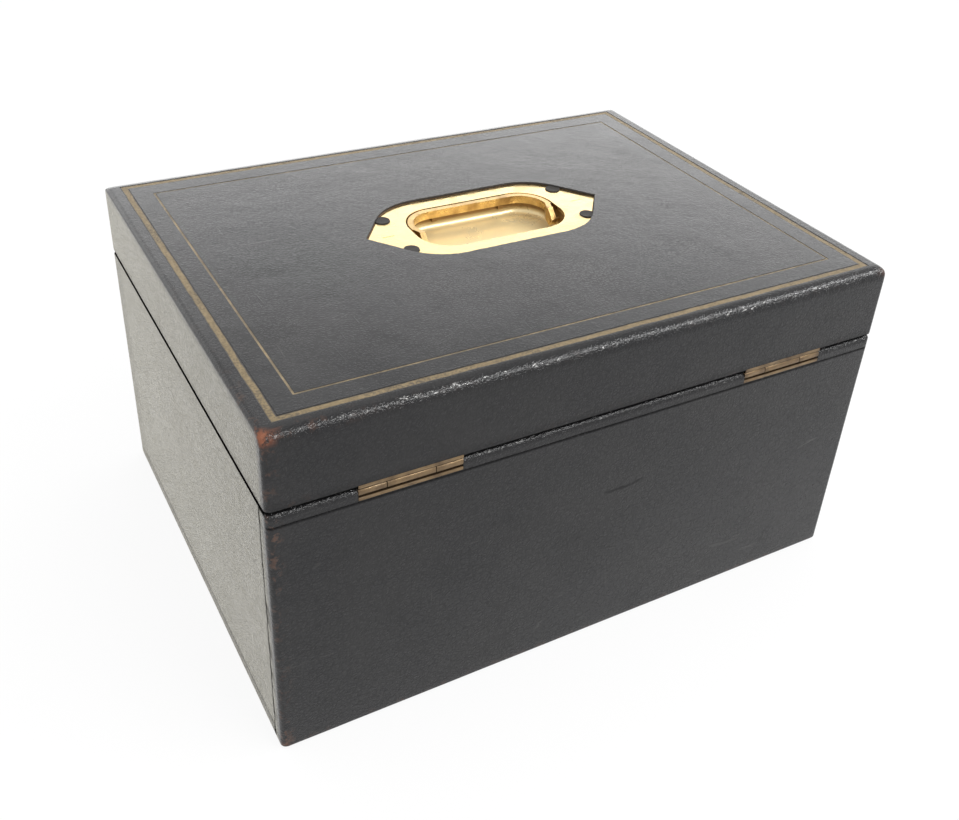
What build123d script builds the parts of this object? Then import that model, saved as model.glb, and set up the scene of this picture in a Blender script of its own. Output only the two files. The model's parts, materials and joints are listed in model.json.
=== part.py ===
from build123d import *
import math
import os

# A leather-covered jewellery box with a hinged lid, a flush brass carrying
# handle, a lock in the front and a lift-out tray. Millimetres, +Z up, the
# origin at the middle of the underside. The lock faces -Y, the hinges +Y.

# Whole box, outside its leather
BOX_LENGTH = 254.0
BOX_DEPTH = 192.0
BASE_HEIGHT = 107.9
LID_HEIGHT = 29.8
CLOSING_GAP = 0.8
CORNER_ROUND = 3.5
RIM_ROUND = 1.0
FOOT_ROUND = 1.2

# Carcass and covers
LEATHER = 1.2
BASE_WALL = 8.0
LID_WALL = 7.0
BOTTOM_BOARD = 6.0
LID_BOARD = 10.5
LEATHER_TURN_IN = 13.0
LEATHER_LIFT = 0.3
LINING = 1.6
LINING_BELOW_RIM = 0.8
SOFT_CLEARANCE = 0.3

# Gilt lines on the lid: distance of each line's middle from the edges
WIDE_GILT_INSET = 6.8
WIDE_GILT_WIDTH = 3.0
FINE_GILT_INSET = 16.6
FINE_GILT_WIDTH = 0.9
GILT_GROOVE = 0.25
GILT_THICKNESS = 0.12

# Padding
FLOOR_PAD = 7.0
LID_PAD = 6.0
TRAY_PAD = 5.0
PAD_CROWN = 2.4
PAD_DRAW_IN = 1.2
PAD_CORNER = 4.0

# Hinges
HINGE_LENGTH = 37.5
HINGE_LEFT_X = -80.3
HINGE_RIGHT_X = 77.8
LEAF = 1.25
LID_LEAF = 1.4
LEAF_INSET = 0.4
LEAF_GAP = 0.25
HINGE_END_CLEARANCE = 0.15
KNUCKLE = 2.8
KNUCKLE_ROUND = 1.1
KNUCKLE_CLEARANCE = 0.2
HINGE_NECK = 2.0
END_KNUCKLE = 9.8
KNUCKLE_GAP = 0.3
HINGE_PIN_RADIUS = 0.8
PIN_CLEARANCE = 0.05

# Wood screws
SCREW_HEAD_RADIUS = 1.6
SCREW_SHANK_RADIUS = 0.9
SCREW_HEAD_DEPTH = 0.8
SCREW_LENGTH = 9.0
SCREW_SLOT = 0.4
HINGE_SCREW_PITCH = 13.0
FIT = 0.03
OVERCUT = 1.0

# Handle in the lid
HANDLE_X = -5.4
HANDLE_Y = -7.6
PLATE_SUNK = 1.0
PLATE = 1.6
PLATE_WIDTH = 49.8
PLATE_SIDE_STRAIGHT = 44.0
PLATE_TIP = 53.0
PLATE_GABLE_FOOT = 42.8
NOTCH_X = 40.4
NOTCH_Y = 13.6
NOTCH_RADIUS = 3.2
HANDLE_SCREW_MARGIN = 10.6
HANDLE_SCREW_HEAD = 2.6
LEATHER_CUT = 0.25
WELL_LENGTH = 66.4
WELL_WIDTH = 35.1
WELL_CORNER = 14.0
WELL_DEPTH = 9.6
WELL_FILLET = 3.0
PAN_WALL = 1.0
BOARD_CUT = 0.2

# Bail
BAIL_BAND = 2.4
BAIL_HEIGHT = 3.4
BAIL_CLEARANCE = 0.7
BAIL_SUNK = 0.1
BAIL_PIVOT_MARGIN = 13.95
BAIL_PIVOT_SUNK = 5.1
BAIL_SHOULDER_Y = -2.0
BAIL_ARM_LAP = 1.0
BAIL_NECK_Y = 0.6
BAIL_ARM_SET_IN = 2.2
BAIL_ARM_HEIGHT = 4.2
BAIL_PIN_RADIUS = 0.9
BAIL_PIN_REACH = 0.3
REST_LUG_X = 15.7
REST_LUG_WIDTH = 2.4
REST_LUG_REACH = 2.2
REST_LUG_HEIGHT = 2.0
REST_LUG_GAP = 0.1

# Lock in the front board
CASE_LENGTH = 54.0
CASE_HEIGHT = 23.4
CASE_DEPTH = 5.5
CASE_WALL = 1.0
CASE_BEHIND_BOARD = 1.4
SELVEDGE_LENGTH = 72.0
SELVEDGE_WIDTH = 5.0
SELVEDGE = 1.6
SELVEDGE_END_FLAT = 0.01
PLUG_RADIUS = 5.0
PLUG_BELOW_RIM = 17.5
PLUG_KEYWAY_OUTER = 3.5
PLUG_KEYWAY_INNER = 1.7
PLUG_KEYWAY_DEPTH = 3.0
NOZZLE_RADIUS = 9.0
NOZZLE_COLLAR = 7.0
NOZZLE = 0.8
CAM_RADIUS = 5.8
CAM = 0.8
CAM_GAP = 0.1
DRIVE_RADIUS = 3.0
DRIVE_PIN_RADIUS = 1.0
DRIVE_CLEARANCE = 0.2
DRIVE_TURN = 90.0
DRIVE_SLOT_WALL = 1.6
BOLT = 2.0
BOLT_BAR_BOTTOM = 12.4
BOLT_BAR_HEIGHT = 3.3
BOLT_END = 4.0
FINGER_BELOW_RIM = 5.5
FINGER_HEIGHT = 1.8
FINGER_LENGTH = 4.4
FINGER_POST = 3.0
GUIDE_PEG_RADIUS = 1.0
GUIDE_PEG_LEFT_X = -14.0
GUIDE_PEG_RIGHT_X = 10.0

# Hooks on the lid's link plate
HOOK_X = 12.0
HOOK_WIDTH = 5.0
HOOK_BELOW_RIM = 8.6
HOOK_THROAT = 4.0
HOOK_THROAT_CLEARANCE = 0.5
HOOK_SIDE_CLEARANCE = 0.6

# Tray
TRAY_SIDE_CLEARANCE = 1.0
TRAY_BELOW_RIM = 3.5
TRAY_HEIGHT = 37.0
TRAY_WALL = 4.0
TRAY_BOTTOM = 3.0
TRAY_SEAT_GAP = 0.2
TRAY_LIFT = 13.0
DIVIDER = 3.0
DIVIDER_BELOW_RIM = 4.5
ROLL_COMPARTMENT = 75.7
ROLL_COUNT = 5
ROLL_HEIGHT = 26.0
ROLL_END_ROUND = 2.5
LEDGE_WIDTH = 6.0
LEDGE_HEIGHT = 8.0
LEDGE_END_GAP = 10.0
TAB_WIDTH = 14.0
TAB = 0.8
TAB_LOOP = 5.0
TAB_LEG = 1.2
TAB_RISE = 2.0

# Places that follow from the sizes above
BOX_HEIGHT = BASE_HEIGHT + CLOSING_GAP + LID_HEIGHT
HALF_LENGTH = BOX_LENGTH / 2
HALF_DEPTH = BOX_DEPTH / 2
CORE_X = HALF_LENGTH - LEATHER
CORE_Y = HALF_DEPTH - LEATHER
CORE_ROUND = CORNER_ROUND - LEATHER
BASE_CORE_BOTTOM = LEATHER_LIFT + LEATHER
BASE_CORE_TOP = BASE_HEIGHT - LEATHER
BASE_FLOOR = BASE_CORE_BOTTOM + BOTTOM_BOARD
BASE_INNER_X = CORE_X - BASE_WALL
BASE_INNER_Y = CORE_Y - BASE_WALL
LID_BOTTOM = BASE_HEIGHT + CLOSING_GAP
LID_CORE_BOTTOM = LID_BOTTOM + LEATHER
LID_CORE_TOP = BOX_HEIGHT - LEATHER
LID_CEILING = LID_CORE_TOP - LID_BOARD
LID_INNER_X = CORE_X - LID_WALL
LID_INNER_Y = CORE_Y - LID_WALL
HINGE_MIDDLES = {"left": HINGE_LEFT_X, "right": HINGE_RIGHT_X}
KNUCKLE_REACH = math.sqrt(2) * (KNUCKLE / 2 - KNUCKLE_ROUND) + KNUCKLE_ROUND
KNUCKLE_SWEEP = KNUCKLE_REACH + KNUCKLE_CLEARANCE
AXIS_Y = HALF_DEPTH - KNUCKLE / 2
AXIS_Z = BASE_HEIGHT - KNUCKLE / 2
LID_LEAF_UNDER = max(BASE_HEIGHT + LEAF_GAP, AXIS_Z + KNUCKLE_SWEEP)
LID_LEAF_TOP = LID_LEAF_UNDER + LID_LEAF
PLATE_TOP = BOX_HEIGHT - PLATE_SUNK
PLATE_UNDER = PLATE_TOP - PLATE
WELL_FLOOR = PLATE_TOP - WELL_DEPTH
HANDLE_SCREW_X = WELL_LENGTH / 2 + HANDLE_SCREW_MARGIN
BAIL_ARM_OUTER = WELL_LENGTH / 2 - BAIL_ARM_SET_IN
BAIL_PIVOT_Y = WELL_WIDTH / 2 - BAIL_PIVOT_MARGIN
BAIL_PIVOT_Z = PLATE_TOP - BAIL_PIVOT_SUNK
BAIL_TOP = PLATE_TOP - BAIL_SUNK
BAIL_UNDER = BAIL_TOP - BAIL_HEIGHT
CASE_FRONT = -CORE_Y + CASE_BEHIND_BOARD
CASE_TOP = BASE_HEIGHT - SELVEDGE
CASE_BOTTOM = CASE_TOP - CASE_HEIGHT
CASE_BACK = CASE_FRONT + CASE_DEPTH
CAM_FRONT = CASE_FRONT + CASE_WALL + CAM_GAP
BOLT_FRONT = CAM_FRONT + CAM + DRIVE_CLEARANCE
BOLT_BACK = BOLT_FRONT + BOLT
BOLT_Y = (BOLT_FRONT + BOLT_BACK) / 2
PLUG_Z = BASE_HEIGHT - PLUG_BELOW_RIM
DRIVE_HALF_TURN = math.radians(DRIVE_TURN / 2)
DRIVE_REST_X = -DRIVE_RADIUS * math.sin(DRIVE_HALF_TURN)
DRIVE_REST_Z = PLUG_Z + DRIVE_RADIUS * math.cos(DRIVE_HALF_TURN)
BOLT_THROW = -2 * DRIVE_REST_X
SELVEDGE_SCREW_X = (CASE_LENGTH + SELVEDGE_LENGTH) / 4
TRAY_X = BASE_INNER_X - LINING - TRAY_SIDE_CLEARANCE
TRAY_Y = BASE_INNER_Y - LINING - TRAY_SIDE_CLEARANCE
TRAY_TOP = BASE_HEIGHT - TRAY_BELOW_RIM
TRAY_UNDER = TRAY_TOP - TRAY_HEIGHT
TRAY_FLOOR = TRAY_UNDER + TRAY_BOTTOM
TRAY_INNER_X = TRAY_X - TRAY_WALL
TRAY_INNER_Y = TRAY_Y - TRAY_WALL
DIVIDER_X = -TRAY_INNER_X + ROLL_COMPARTMENT
DIVIDER_TOP = TRAY_TOP - DIVIDER_BELOW_RIM

nodes = {}


def block(x, y, z):
    """A square-edged block between three pairs of limits."""
    middle = Pos((x[0] + x[1]) / 2, (y[0] + y[1]) / 2, (z[0] + z[1]) / 2)
    return middle * Box(x[1] - x[0], y[1] - y[0], z[1] - z[0])


def rod_x(x, y, z, radius):
    """A round rod along X between two limits."""
    middle = Pos((x[0] + x[1]) / 2, y, z)
    return middle * Rot(0, 90, 0) * Cylinder(radius, x[1] - x[0])


def rod_y(x, y, z, radius):
    """A round rod along Y between two limits."""
    middle = Pos(x, (y[0] + y[1]) / 2, z)
    return middle * Rot(90, 0, 0) * Cylinder(radius, y[1] - y[0])


def upright(face, bottom, top):
    """A flat outline raised from one height to another."""
    return Pos(0, 0, bottom) * extrude(face, top - bottom)


def profile_x(points, x):
    """An outline of (y, z) points, drawn along X between two limits."""
    outline = Plane.YZ * Polygon(*points, align=None)
    return Pos(x[0], 0, 0) * extrude(outline, x[1] - x[0], dir=(1, 0, 0))


def mirrored_x(shape):
    """The same shape on the other end of the box."""
    return mirror(shape, about=Plane.YZ)


def rounded_core(z, top_round):
    """The carcass's outer shape under its leather, with rounded upright and top edges."""
    core = block((-CORE_X, CORE_X), (-CORE_Y, CORE_Y), z)
    edges = core.edges().filter_by(Axis.Z)
    if top_round:
        edges = edges + core.faces().sort_by(Axis.Z)[-1].edges()
    return fillet(edges, CORE_ROUND)


def pad(x, y, flat_z, thickness, way):
    """A cushion with drawn-in sides and a crown, flat at flat_z; way is 1 up, -1 down."""
    half_x = (x[1] - x[0]) / 2
    half_y = (y[1] - y[0]) / 2
    corners = [(half_x, half_y), (-half_x, half_y), (-half_x, -half_y), (half_x, -half_y)]
    waists = [
        (0, half_y - PAD_DRAW_IN),
        (-half_x + PAD_DRAW_IN, 0),
        (0, -half_y + PAD_DRAW_IN),
        (half_x - PAD_DRAW_IN, 0),
    ]
    sides = [
        ThreePointArc(corners[i], waists[i], corners[(i + 1) % 4]) for i in range(4)
    ]
    outline = make_face(Curve() + sides)
    outline = fillet(outline.vertices(), PAD_CORNER)
    body = extrude(outline, thickness)
    for half, turn in ((half_x, Rot(90, 0, 0)), (half_y, Rot(0, 90, 0))):
        radius = (half ** 2 + PAD_CROWN ** 2) / (2 * PAD_CROWN)
        reach = 2.5 * max(half_x, half_y)
        body = body & Pos(0, 0, thickness - radius) * turn * Cylinder(radius, reach)
    if way < 0:
        body = Rot(180, 0, 0) * body
    return Pos((x[0] + x[1]) / 2, (y[0] + y[1]) / 2, flat_z) * body


def screw(x, y, z, way, head_radius=SCREW_HEAD_RADIUS, spare=0.0):
    """A slotted countersunk wood screw with its head flush at z; way is 1 head up, -1 down.
    With spare, it is the hole that the screw fits."""
    shank = SCREW_SHANK_RADIUS + spare
    head = head_radius + spare
    cone = Pos(0, 0, -SCREW_HEAD_DEPTH / 2) * Cone(shank, head, SCREW_HEAD_DEPTH)
    length = SCREW_LENGTH + spare
    shape = cone + Pos(0, 0, -length / 2) * Cylinder(shank, length)
    if not spare:
        shape = shape - Box(3 * head, SCREW_SLOT, SCREW_SLOT)
    if way < 0:
        shape = Rot(180, 0, 0) * shape
    return Pos(x, y, z) * shape


def group(shapes):
    """Several separate solids kept under one name."""
    return Compound(children=list(shapes))


# Fasteners and where they sit

def hinge_screw_xs():
    """The X of every screw in a row of hinge screws, both hinges."""
    return [
        middle + step * HINGE_SCREW_PITCH
        for middle in HINGE_MIDDLES.values()
        for step in (-1, 0, 1)
    ]


RIM_PLATE_TOP = BASE_HEIGHT
TROUGH_WEB_Y = AXIS_Y - KNUCKLE_SWEEP
RIM_PLATE_Y = BASE_INNER_Y + LEAF_INSET
BASE_SCREW_Y = (RIM_PLATE_Y + TROUGH_WEB_Y - LEAF) / 2
LID_LEAF_Y = LID_INNER_Y + LEAF_INSET
LID_SCREW_Y = (LID_LEAF_Y + TROUGH_WEB_Y) / 2

base_hinge_screws = [(x, BASE_SCREW_Y, RIM_PLATE_TOP, 1) for x in hinge_screw_xs()]
lid_hinge_screws = [(x, LID_SCREW_Y, LID_LEAF_UNDER, -1) for x in hinge_screw_xs()]
selvedge_screws = [(side * SELVEDGE_SCREW_X, BOLT_Y, BASE_HEIGHT, 1) for side in (-1, 1)]
link_screws = [(side * SELVEDGE_SCREW_X, BOLT_Y, LID_BOTTOM, -1) for side in (-1, 1)]
handle_screws = [
    (HANDLE_X + side * HANDLE_SCREW_X, HANDLE_Y, PLATE_TOP, 1) for side in (-1, 1)
]


def screws(places, **sizes):
    """The screws at a list of places."""
    return [screw(*place, **sizes) for place in places]


def screw_holes(places, **sizes):
    """The holes for the screws at a list of places, joined."""
    return group(screws(places, spare=FIT, **sizes))


# Hinges

def hinge_span(middle, spare=0.0):
    """The two ends of a hinge along X."""
    half = HINGE_LENGTH / 2 + spare
    return (middle - half, middle + half)


def hinge_pocket():
    """What is cut out of the base's back edge for both hinges."""
    cuts = []
    for middle in HINGE_MIDDLES.values():
        x = hinge_span(middle, HINGE_END_CLEARANCE)
        cuts.append(
            profile_x(
                [
                    (RIM_PLATE_Y, BASE_HEIGHT + OVERCUT),
                    (RIM_PLATE_Y, RIM_PLATE_TOP - LEAF),
                    (TROUGH_WEB_Y - LEAF, RIM_PLATE_TOP - LEAF),
                    (TROUGH_WEB_Y - LEAF, AXIS_Z - KNUCKLE_SWEEP - LEAF),
                    (HALF_DEPTH + OVERCUT, AXIS_Z - KNUCKLE_SWEEP - LEAF),
                    (HALF_DEPTH + OVERCUT, BASE_HEIGHT + OVERCUT),
                ],
                x,
            )
        )
    return group(cuts)


def lid_leaf_pockets():
    """What is cut out of the lid's lower back edge for both leaves."""
    return group(
        block(
            hinge_span(middle, HINGE_END_CLEARANCE),
            (LID_LEAF_Y, HALF_DEPTH + OVERCUT),
            (LID_BOTTOM - OVERCUT, LID_LEAF_TOP),
        )
        for middle in HINGE_MIDDLES.values()
    )


def knuckle(x):
    """A square-sided knuckle with eased corners and its pin hole."""
    half = KNUCKLE / 2
    body = block(x, (AXIS_Y - half, AXIS_Y + half), (AXIS_Z - half, AXIS_Z + half))
    return fillet(body.edges().filter_by(Axis.X), KNUCKLE_ROUND)


def pin_hole(x):
    """The running hole for a hinge pin."""
    return rod_x((x[0] - OVERCUT, x[1] + OVERCUT), AXIS_Y, AXIS_Z, HINGE_PIN_RADIUS + PIN_CLEARANCE)


def base_leaf(middle):
    """The leaf on the base: a rim plate, a trough round the knuckles, two end knuckles."""
    x = hinge_span(middle)
    under = AXIS_Z - KNUCKLE_SWEEP
    leaf = profile_x(
        [
            (RIM_PLATE_Y, RIM_PLATE_TOP),
            (RIM_PLATE_Y, RIM_PLATE_TOP - LEAF),
            (TROUGH_WEB_Y - LEAF, RIM_PLATE_TOP - LEAF),
            (TROUGH_WEB_Y - LEAF, under - LEAF),
            (HALF_DEPTH, under - LEAF),
            (HALF_DEPTH, under),
            (TROUGH_WEB_Y, under),
            (TROUGH_WEB_Y, RIM_PLATE_TOP),
        ],
        x,
    )
    for end in ((x[0], x[0] + END_KNUCKLE), (x[1] - END_KNUCKLE, x[1])):
        web_z = (AXIS_Z - HINGE_NECK / 2, AXIS_Z + HINGE_NECK / 2)
        web = block(end, (TROUGH_WEB_Y - LEAF / 2, AXIS_Y), web_z)
        leaf = leaf + knuckle(end) + web
    return leaf - pin_hole(x) - screw_holes(base_hinge_screws)


def lid_leaf(middle):
    """The leaf under the lid's rim with its middle knuckle."""
    x = hinge_span(middle)
    inner = (x[0] + END_KNUCKLE + KNUCKLE_GAP, x[1] - END_KNUCKLE - KNUCKLE_GAP)
    plate = block(x, (LID_LEAF_Y, HALF_DEPTH), (LID_LEAF_UNDER, LID_LEAF_TOP))
    neck_y = (AXIS_Y - HINGE_NECK / 2, AXIS_Y + HINGE_NECK / 2)
    neck = block(inner, neck_y, (AXIS_Z, LID_LEAF_UNDER + LID_LEAF / 2))
    leaf = plate + neck + knuckle(inner)
    return leaf - pin_hole(x) - screw_holes(lid_hinge_screws)


def make_hinges():
    for name, middle in HINGE_MIDDLES.items():
        nodes["hinge_" + name + "_base_leaf"] = base_leaf(middle)
        nodes["hinge_" + name + "_lid_leaf"] = lid_leaf(middle)
        nodes["hinge_" + name + "_pin"] = rod_x(
            hinge_span(middle), AXIS_Y, AXIS_Z, HINGE_PIN_RADIUS
        )
    nodes["hinge_base_screws"] = group(screws(base_hinge_screws))
    nodes["hinge_lid_screws"] = group(screws(lid_hinge_screws))


# Lock

def plate_on_rim(z):
    """A brass plate let into the middle of the front rim."""
    half = SELVEDGE_LENGTH / 2
    y = (BOLT_Y - SELVEDGE_WIDTH / 2, BOLT_Y + SELVEDGE_WIDTH / 2)
    plate = block((-half, half), y, z)
    return fillet(plate.edges().filter_by(Axis.Z), SELVEDGE_WIDTH / 2 - SELVEDGE_END_FLAT)


def case_pocket():
    """The mortise for the lock, open to the inside of the box."""
    half = CASE_LENGTH / 2
    return block((-half, half), (CASE_FRONT, -BASE_INNER_Y + OVERCUT), (CASE_BOTTOM, BASE_HEIGHT))


def lock_case():
    """The open-backed, open-topped case with two pegs that carry the bolt."""
    half = CASE_LENGTH / 2
    case = block((-half, half), (CASE_FRONT, CASE_BACK), (CASE_BOTTOM, CASE_TOP))
    case = case - block(
        (-half + CASE_WALL, half - CASE_WALL),
        (CASE_FRONT + CASE_WALL, CASE_BACK + OVERCUT),
        (CASE_BOTTOM + CASE_WALL, CASE_TOP + OVERCUT),
    )
    peg_z = BASE_HEIGHT - BOLT_BAR_BOTTOM - GUIDE_PEG_RADIUS - DRIVE_CLEARANCE
    for x in (GUIDE_PEG_LEFT_X, GUIDE_PEG_RIGHT_X):
        case = case + rod_y(x, (CASE_FRONT, CASE_BACK), peg_z, GUIDE_PEG_RADIUS)
    bore = rod_y(0, (CASE_FRONT - OVERCUT, CAM_FRONT), PLUG_Z, PLUG_RADIUS + PIN_CLEARANCE)
    return case - bore


def hook_slots():
    """The two slots in the selvedge that the lid's hooks drop through."""
    side = HOOK_WIDTH / 2 + HOOK_SIDE_CLEARANCE
    y = (BOLT_FRONT - HOOK_SIDE_CLEARANCE, BOLT_BACK + HOOK_SIDE_CLEARANCE)
    z = (CASE_TOP - OVERCUT, BASE_HEIGHT + OVERCUT)
    return group(block((x - side, x + side), y, z) for x in (-HOOK_X, HOOK_X))


def lock_bolt():
    """The bolt: a bar, two posts with fingers, and a slotted tail for the drive pin."""
    y = (BOLT_FRONT, BOLT_BACK)
    bar_bottom = BASE_HEIGHT - BOLT_BAR_BOTTOM
    bar_top = bar_bottom + BOLT_BAR_HEIGHT
    finger = (BASE_HEIGHT - FINGER_BELOW_RIM, BASE_HEIGHT - FINGER_BELOW_RIM + FINGER_HEIGHT)
    tips = [x - HOOK_WIDTH / 2 - HOOK_SIDE_CLEARANCE for x in (-HOOK_X, HOOK_X)]
    left = tips[0] - FINGER_LENGTH - FINGER_POST
    bolt = block((left, GUIDE_PEG_RIGHT_X + BOLT_END), y, (bar_bottom, bar_top))
    for tip in tips:
        post = tip - FINGER_LENGTH
        bolt = bolt + block((post - FINGER_POST, post), y, (bar_top, finger[1]))
        bolt = bolt + block((post, tip), y, finger)
    slot = DRIVE_PIN_RADIUS + DRIVE_CLEARANCE
    lobe = slot + DRIVE_SLOT_WALL
    bolt = bolt + block(
        (DRIVE_REST_X - lobe, DRIVE_REST_X + lobe), y, (DRIVE_REST_Z - lobe, bar_bottom)
    )
    return bolt - block(
        (DRIVE_REST_X - slot, DRIVE_REST_X + slot),
        (y[0] - OVERCUT, y[1] + OVERCUT),
        (DRIVE_REST_Z - slot, PLUG_Z + DRIVE_RADIUS + slot),
    )


def link_plate():
    """The plate in the lid's front rim with its two hooks."""
    plate = plate_on_rim((LID_BOTTOM, LID_BOTTOM + SELVEDGE))
    finger_bottom = BASE_HEIGHT - FINGER_BELOW_RIM
    throat = (
        finger_bottom - HOOK_THROAT_CLEARANCE,
        finger_bottom + FINGER_HEIGHT + HOOK_THROAT_CLEARANCE,
    )
    for x in (-HOOK_X, HOOK_X):
        left = x - HOOK_WIDTH / 2
        plate = plate + block(
            (left, left + HOOK_WIDTH),
            (BOLT_FRONT, BOLT_BACK),
            (BASE_HEIGHT - HOOK_BELOW_RIM, LID_BOTTOM + SELVEDGE / 2),
        )
        plate = plate - block(
            (left - OVERCUT, left + HOOK_THROAT), (BOLT_FRONT - OVERCUT, BOLT_BACK + OVERCUT), throat
        )
    return plate - screw_holes(link_screws)


def make_lock():
    half = CASE_LENGTH / 2
    nodes["lock_case"] = lock_case()
    nodes["lock_cap"] = block(
        (-half, half), (CASE_BACK, -BASE_INNER_Y), (CASE_BOTTOM, CASE_TOP)
    )
    selvedge = plate_on_rim((CASE_TOP, BASE_HEIGHT))
    nodes["lock_selvedge"] = selvedge - hook_slots() - screw_holes(selvedge_screws)
    nodes["lock_selvedge_screws"] = group(screws(selvedge_screws))
    nodes["lock_bolt"] = lock_bolt()

    plug = rod_y(0, (-HALF_DEPTH, CAM_FRONT), PLUG_Z, PLUG_RADIUS)
    keyway_y = (-HALF_DEPTH - OVERCUT, -HALF_DEPTH + PLUG_KEYWAY_DEPTH)
    keyway = rod_y(0, keyway_y, PLUG_Z, PLUG_KEYWAY_OUTER)
    keyway = keyway - rod_y(0, keyway_y, PLUG_Z, PLUG_KEYWAY_INNER)
    nodes["lock_plug"] = plug - keyway
    cam = rod_y(0, (CAM_FRONT, CAM_FRONT + CAM), PLUG_Z, CAM_RADIUS)
    drive_y = (CAM_FRONT + CAM / 2, BOLT_BACK + DRIVE_CLEARANCE)
    nodes["lock_cam"] = cam + rod_y(DRIVE_REST_X, drive_y, DRIVE_REST_Z, DRIVE_PIN_RADIUS)
    nozzle = rod_y(0, (-HALF_DEPTH, -HALF_DEPTH + NOZZLE), PLUG_Z, NOZZLE_RADIUS)
    nozzle = nozzle + rod_y(0, (-HALF_DEPTH, CASE_FRONT), PLUG_Z, NOZZLE_COLLAR)
    bore = rod_y(0, (-HALF_DEPTH - OVERCUT, CASE_FRONT + OVERCUT), PLUG_Z, PLUG_RADIUS + PIN_CLEARANCE)
    nodes["lock_nozzle"] = nozzle - bore
    nodes["link_plate"] = link_plate()
    nodes["link_plate_screws"] = group(screws(link_screws))


# Base

def base_cuts():
    """Everything let into the base's boards and leather."""
    return [
        hinge_pocket(),
        screw_holes(base_hinge_screws),
        case_pocket(),
        plate_on_rim((CASE_TOP, BASE_HEIGHT + OVERCUT)),
        screw_holes(selvedge_screws),
        rod_y(0, (-HALF_DEPTH - OVERCUT, CASE_FRONT + OVERCUT), PLUG_Z, NOZZLE_COLLAR),
        rod_y(0, (-HALF_DEPTH - OVERCUT, -HALF_DEPTH + NOZZLE), PLUG_Z, NOZZLE_RADIUS),
    ]


def cut_all(shape, cuts):
    for cut in cuts:
        shape = shape - cut
    return shape


def make_base():
    core = rounded_core((BASE_CORE_BOTTOM, BASE_CORE_TOP), False)
    wall_z = (BASE_FLOOR, BASE_CORE_TOP)
    whole = (-CORE_X, CORE_X)
    inner_y = (-BASE_INNER_Y, BASE_INNER_Y)
    boards = {
        "base_front_board": block(whole, (-CORE_Y, -BASE_INNER_Y), wall_z),
        "base_back_board": block(whole, (BASE_INNER_Y, CORE_Y), wall_z),
        "base_left_board": block((-CORE_X, -BASE_INNER_X), inner_y, wall_z),
        "base_right_board": block((BASE_INNER_X, CORE_X), inner_y, wall_z),
        "base_bottom_board": block(whole, (-CORE_Y, CORE_Y), (BASE_CORE_BOTTOM, BASE_FLOOR)),
    }
    cuts = base_cuts()
    for name, board in boards.items():
        board = board & core
        if name in ("base_front_board", "base_back_board"):
            board = cut_all(board, cuts)
        nodes[name] = board

    leather = block(
        (-HALF_LENGTH, HALF_LENGTH), (-HALF_DEPTH, HALF_DEPTH), (LEATHER_LIFT, BASE_HEIGHT)
    )
    leather = fillet(leather.edges().filter_by(Axis.Z), CORNER_ROUND)
    leather = fillet(leather.faces().sort_by(Axis.Z)[0].edges(), FOOT_ROUND)
    leather = fillet(leather.faces().sort_by(Axis.Z)[-1].edges(), RIM_ROUND)
    leather = leather - core
    leather = leather - block(
        (-BASE_INNER_X, BASE_INNER_X), inner_y, (BASE_FLOOR, BASE_HEIGHT + OVERCUT)
    )
    window_x = HALF_LENGTH - LEATHER_TURN_IN
    window_y = HALF_DEPTH - LEATHER_TURN_IN
    leather = leather - block(
        (-window_x, window_x), (-window_y, window_y), (0, BASE_CORE_BOTTOM + OVERCUT)
    )
    nodes["base_leather_cover"] = cut_all(leather, cuts)
    nodes["base_underside_cover"] = block(
        (-window_x, window_x), (-window_y, window_y), (0, BASE_CORE_BOTTOM)
    )

    lining_z = (BASE_FLOOR, BASE_HEIGHT - LINING_BELOW_RIM)
    whole = (-BASE_INNER_X, BASE_INNER_X)
    lined_x = BASE_INNER_X - LINING
    lined_y = BASE_INNER_Y - LINING
    nodes["base_front_lining"] = block(whole, (-BASE_INNER_Y, -lined_y), lining_z)
    nodes["base_back_lining"] = block(whole, (lined_y, BASE_INNER_Y), lining_z)
    right = block((lined_x, BASE_INNER_X), (-lined_y, lined_y), lining_z)
    nodes["base_right_lining"] = right
    nodes["base_left_lining"] = mirrored_x(right)
    reach_x = lined_x - SOFT_CLEARANCE
    reach_y = lined_y - SOFT_CLEARANCE
    nodes["base_floor_pad"] = pad(
        (-reach_x, reach_x), (-reach_y, reach_y), BASE_FLOOR, FLOOR_PAD, 1
    )
    ledge_top = TRAY_UNDER - TRAY_SEAT_GAP
    ledge_y = lined_y - LEDGE_END_GAP
    ledge = block(
        (lined_x - LEDGE_WIDTH, lined_x),
        (-ledge_y, ledge_y),
        (ledge_top - LEDGE_HEIGHT, ledge_top),
    )
    nodes["tray_ledge_right"] = ledge
    nodes["tray_ledge_left"] = mirrored_x(ledge)


# Handle

def plate_outline(spare=0.0):
    """The plate's outline: round-ended, with a gable at each end and four edge notches."""
    end_radius = PLATE_WIDTH / 2 + spare
    run = PLATE_GABLE_FOOT - PLATE_SIDE_STRAIGHT / 2
    foot_y = math.sqrt((PLATE_WIDTH / 2) ** 2 - run ** 2) + spare
    tip = PLATE_TIP + spare
    foot = PLATE_GABLE_FOOT + spare
    gables = Polygon(
        (tip, 0), (foot, foot_y), (-foot, foot_y), (-tip, 0), (-foot, -foot_y), (foot, -foot_y),
        align=None,
    )
    outline = SlotOverall(PLATE_SIDE_STRAIGHT + 2 * end_radius, 2 * end_radius) + gables
    for x in (-NOTCH_X, NOTCH_X):
        for y in (-NOTCH_Y, NOTCH_Y):
            outline = outline - Pos(x, y) * Circle(NOTCH_RADIUS - spare)
    return Pos(HANDLE_X, HANDLE_Y) * outline


def well_outline(grow=0.0):
    """The outline of the handle's finger well, grown or shrunk all round."""
    return Pos(HANDLE_X, HANDLE_Y) * RectangleRounded(
        WELL_LENGTH + 2 * grow, WELL_WIDTH + 2 * grow, WELL_CORNER + grow
    )


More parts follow.
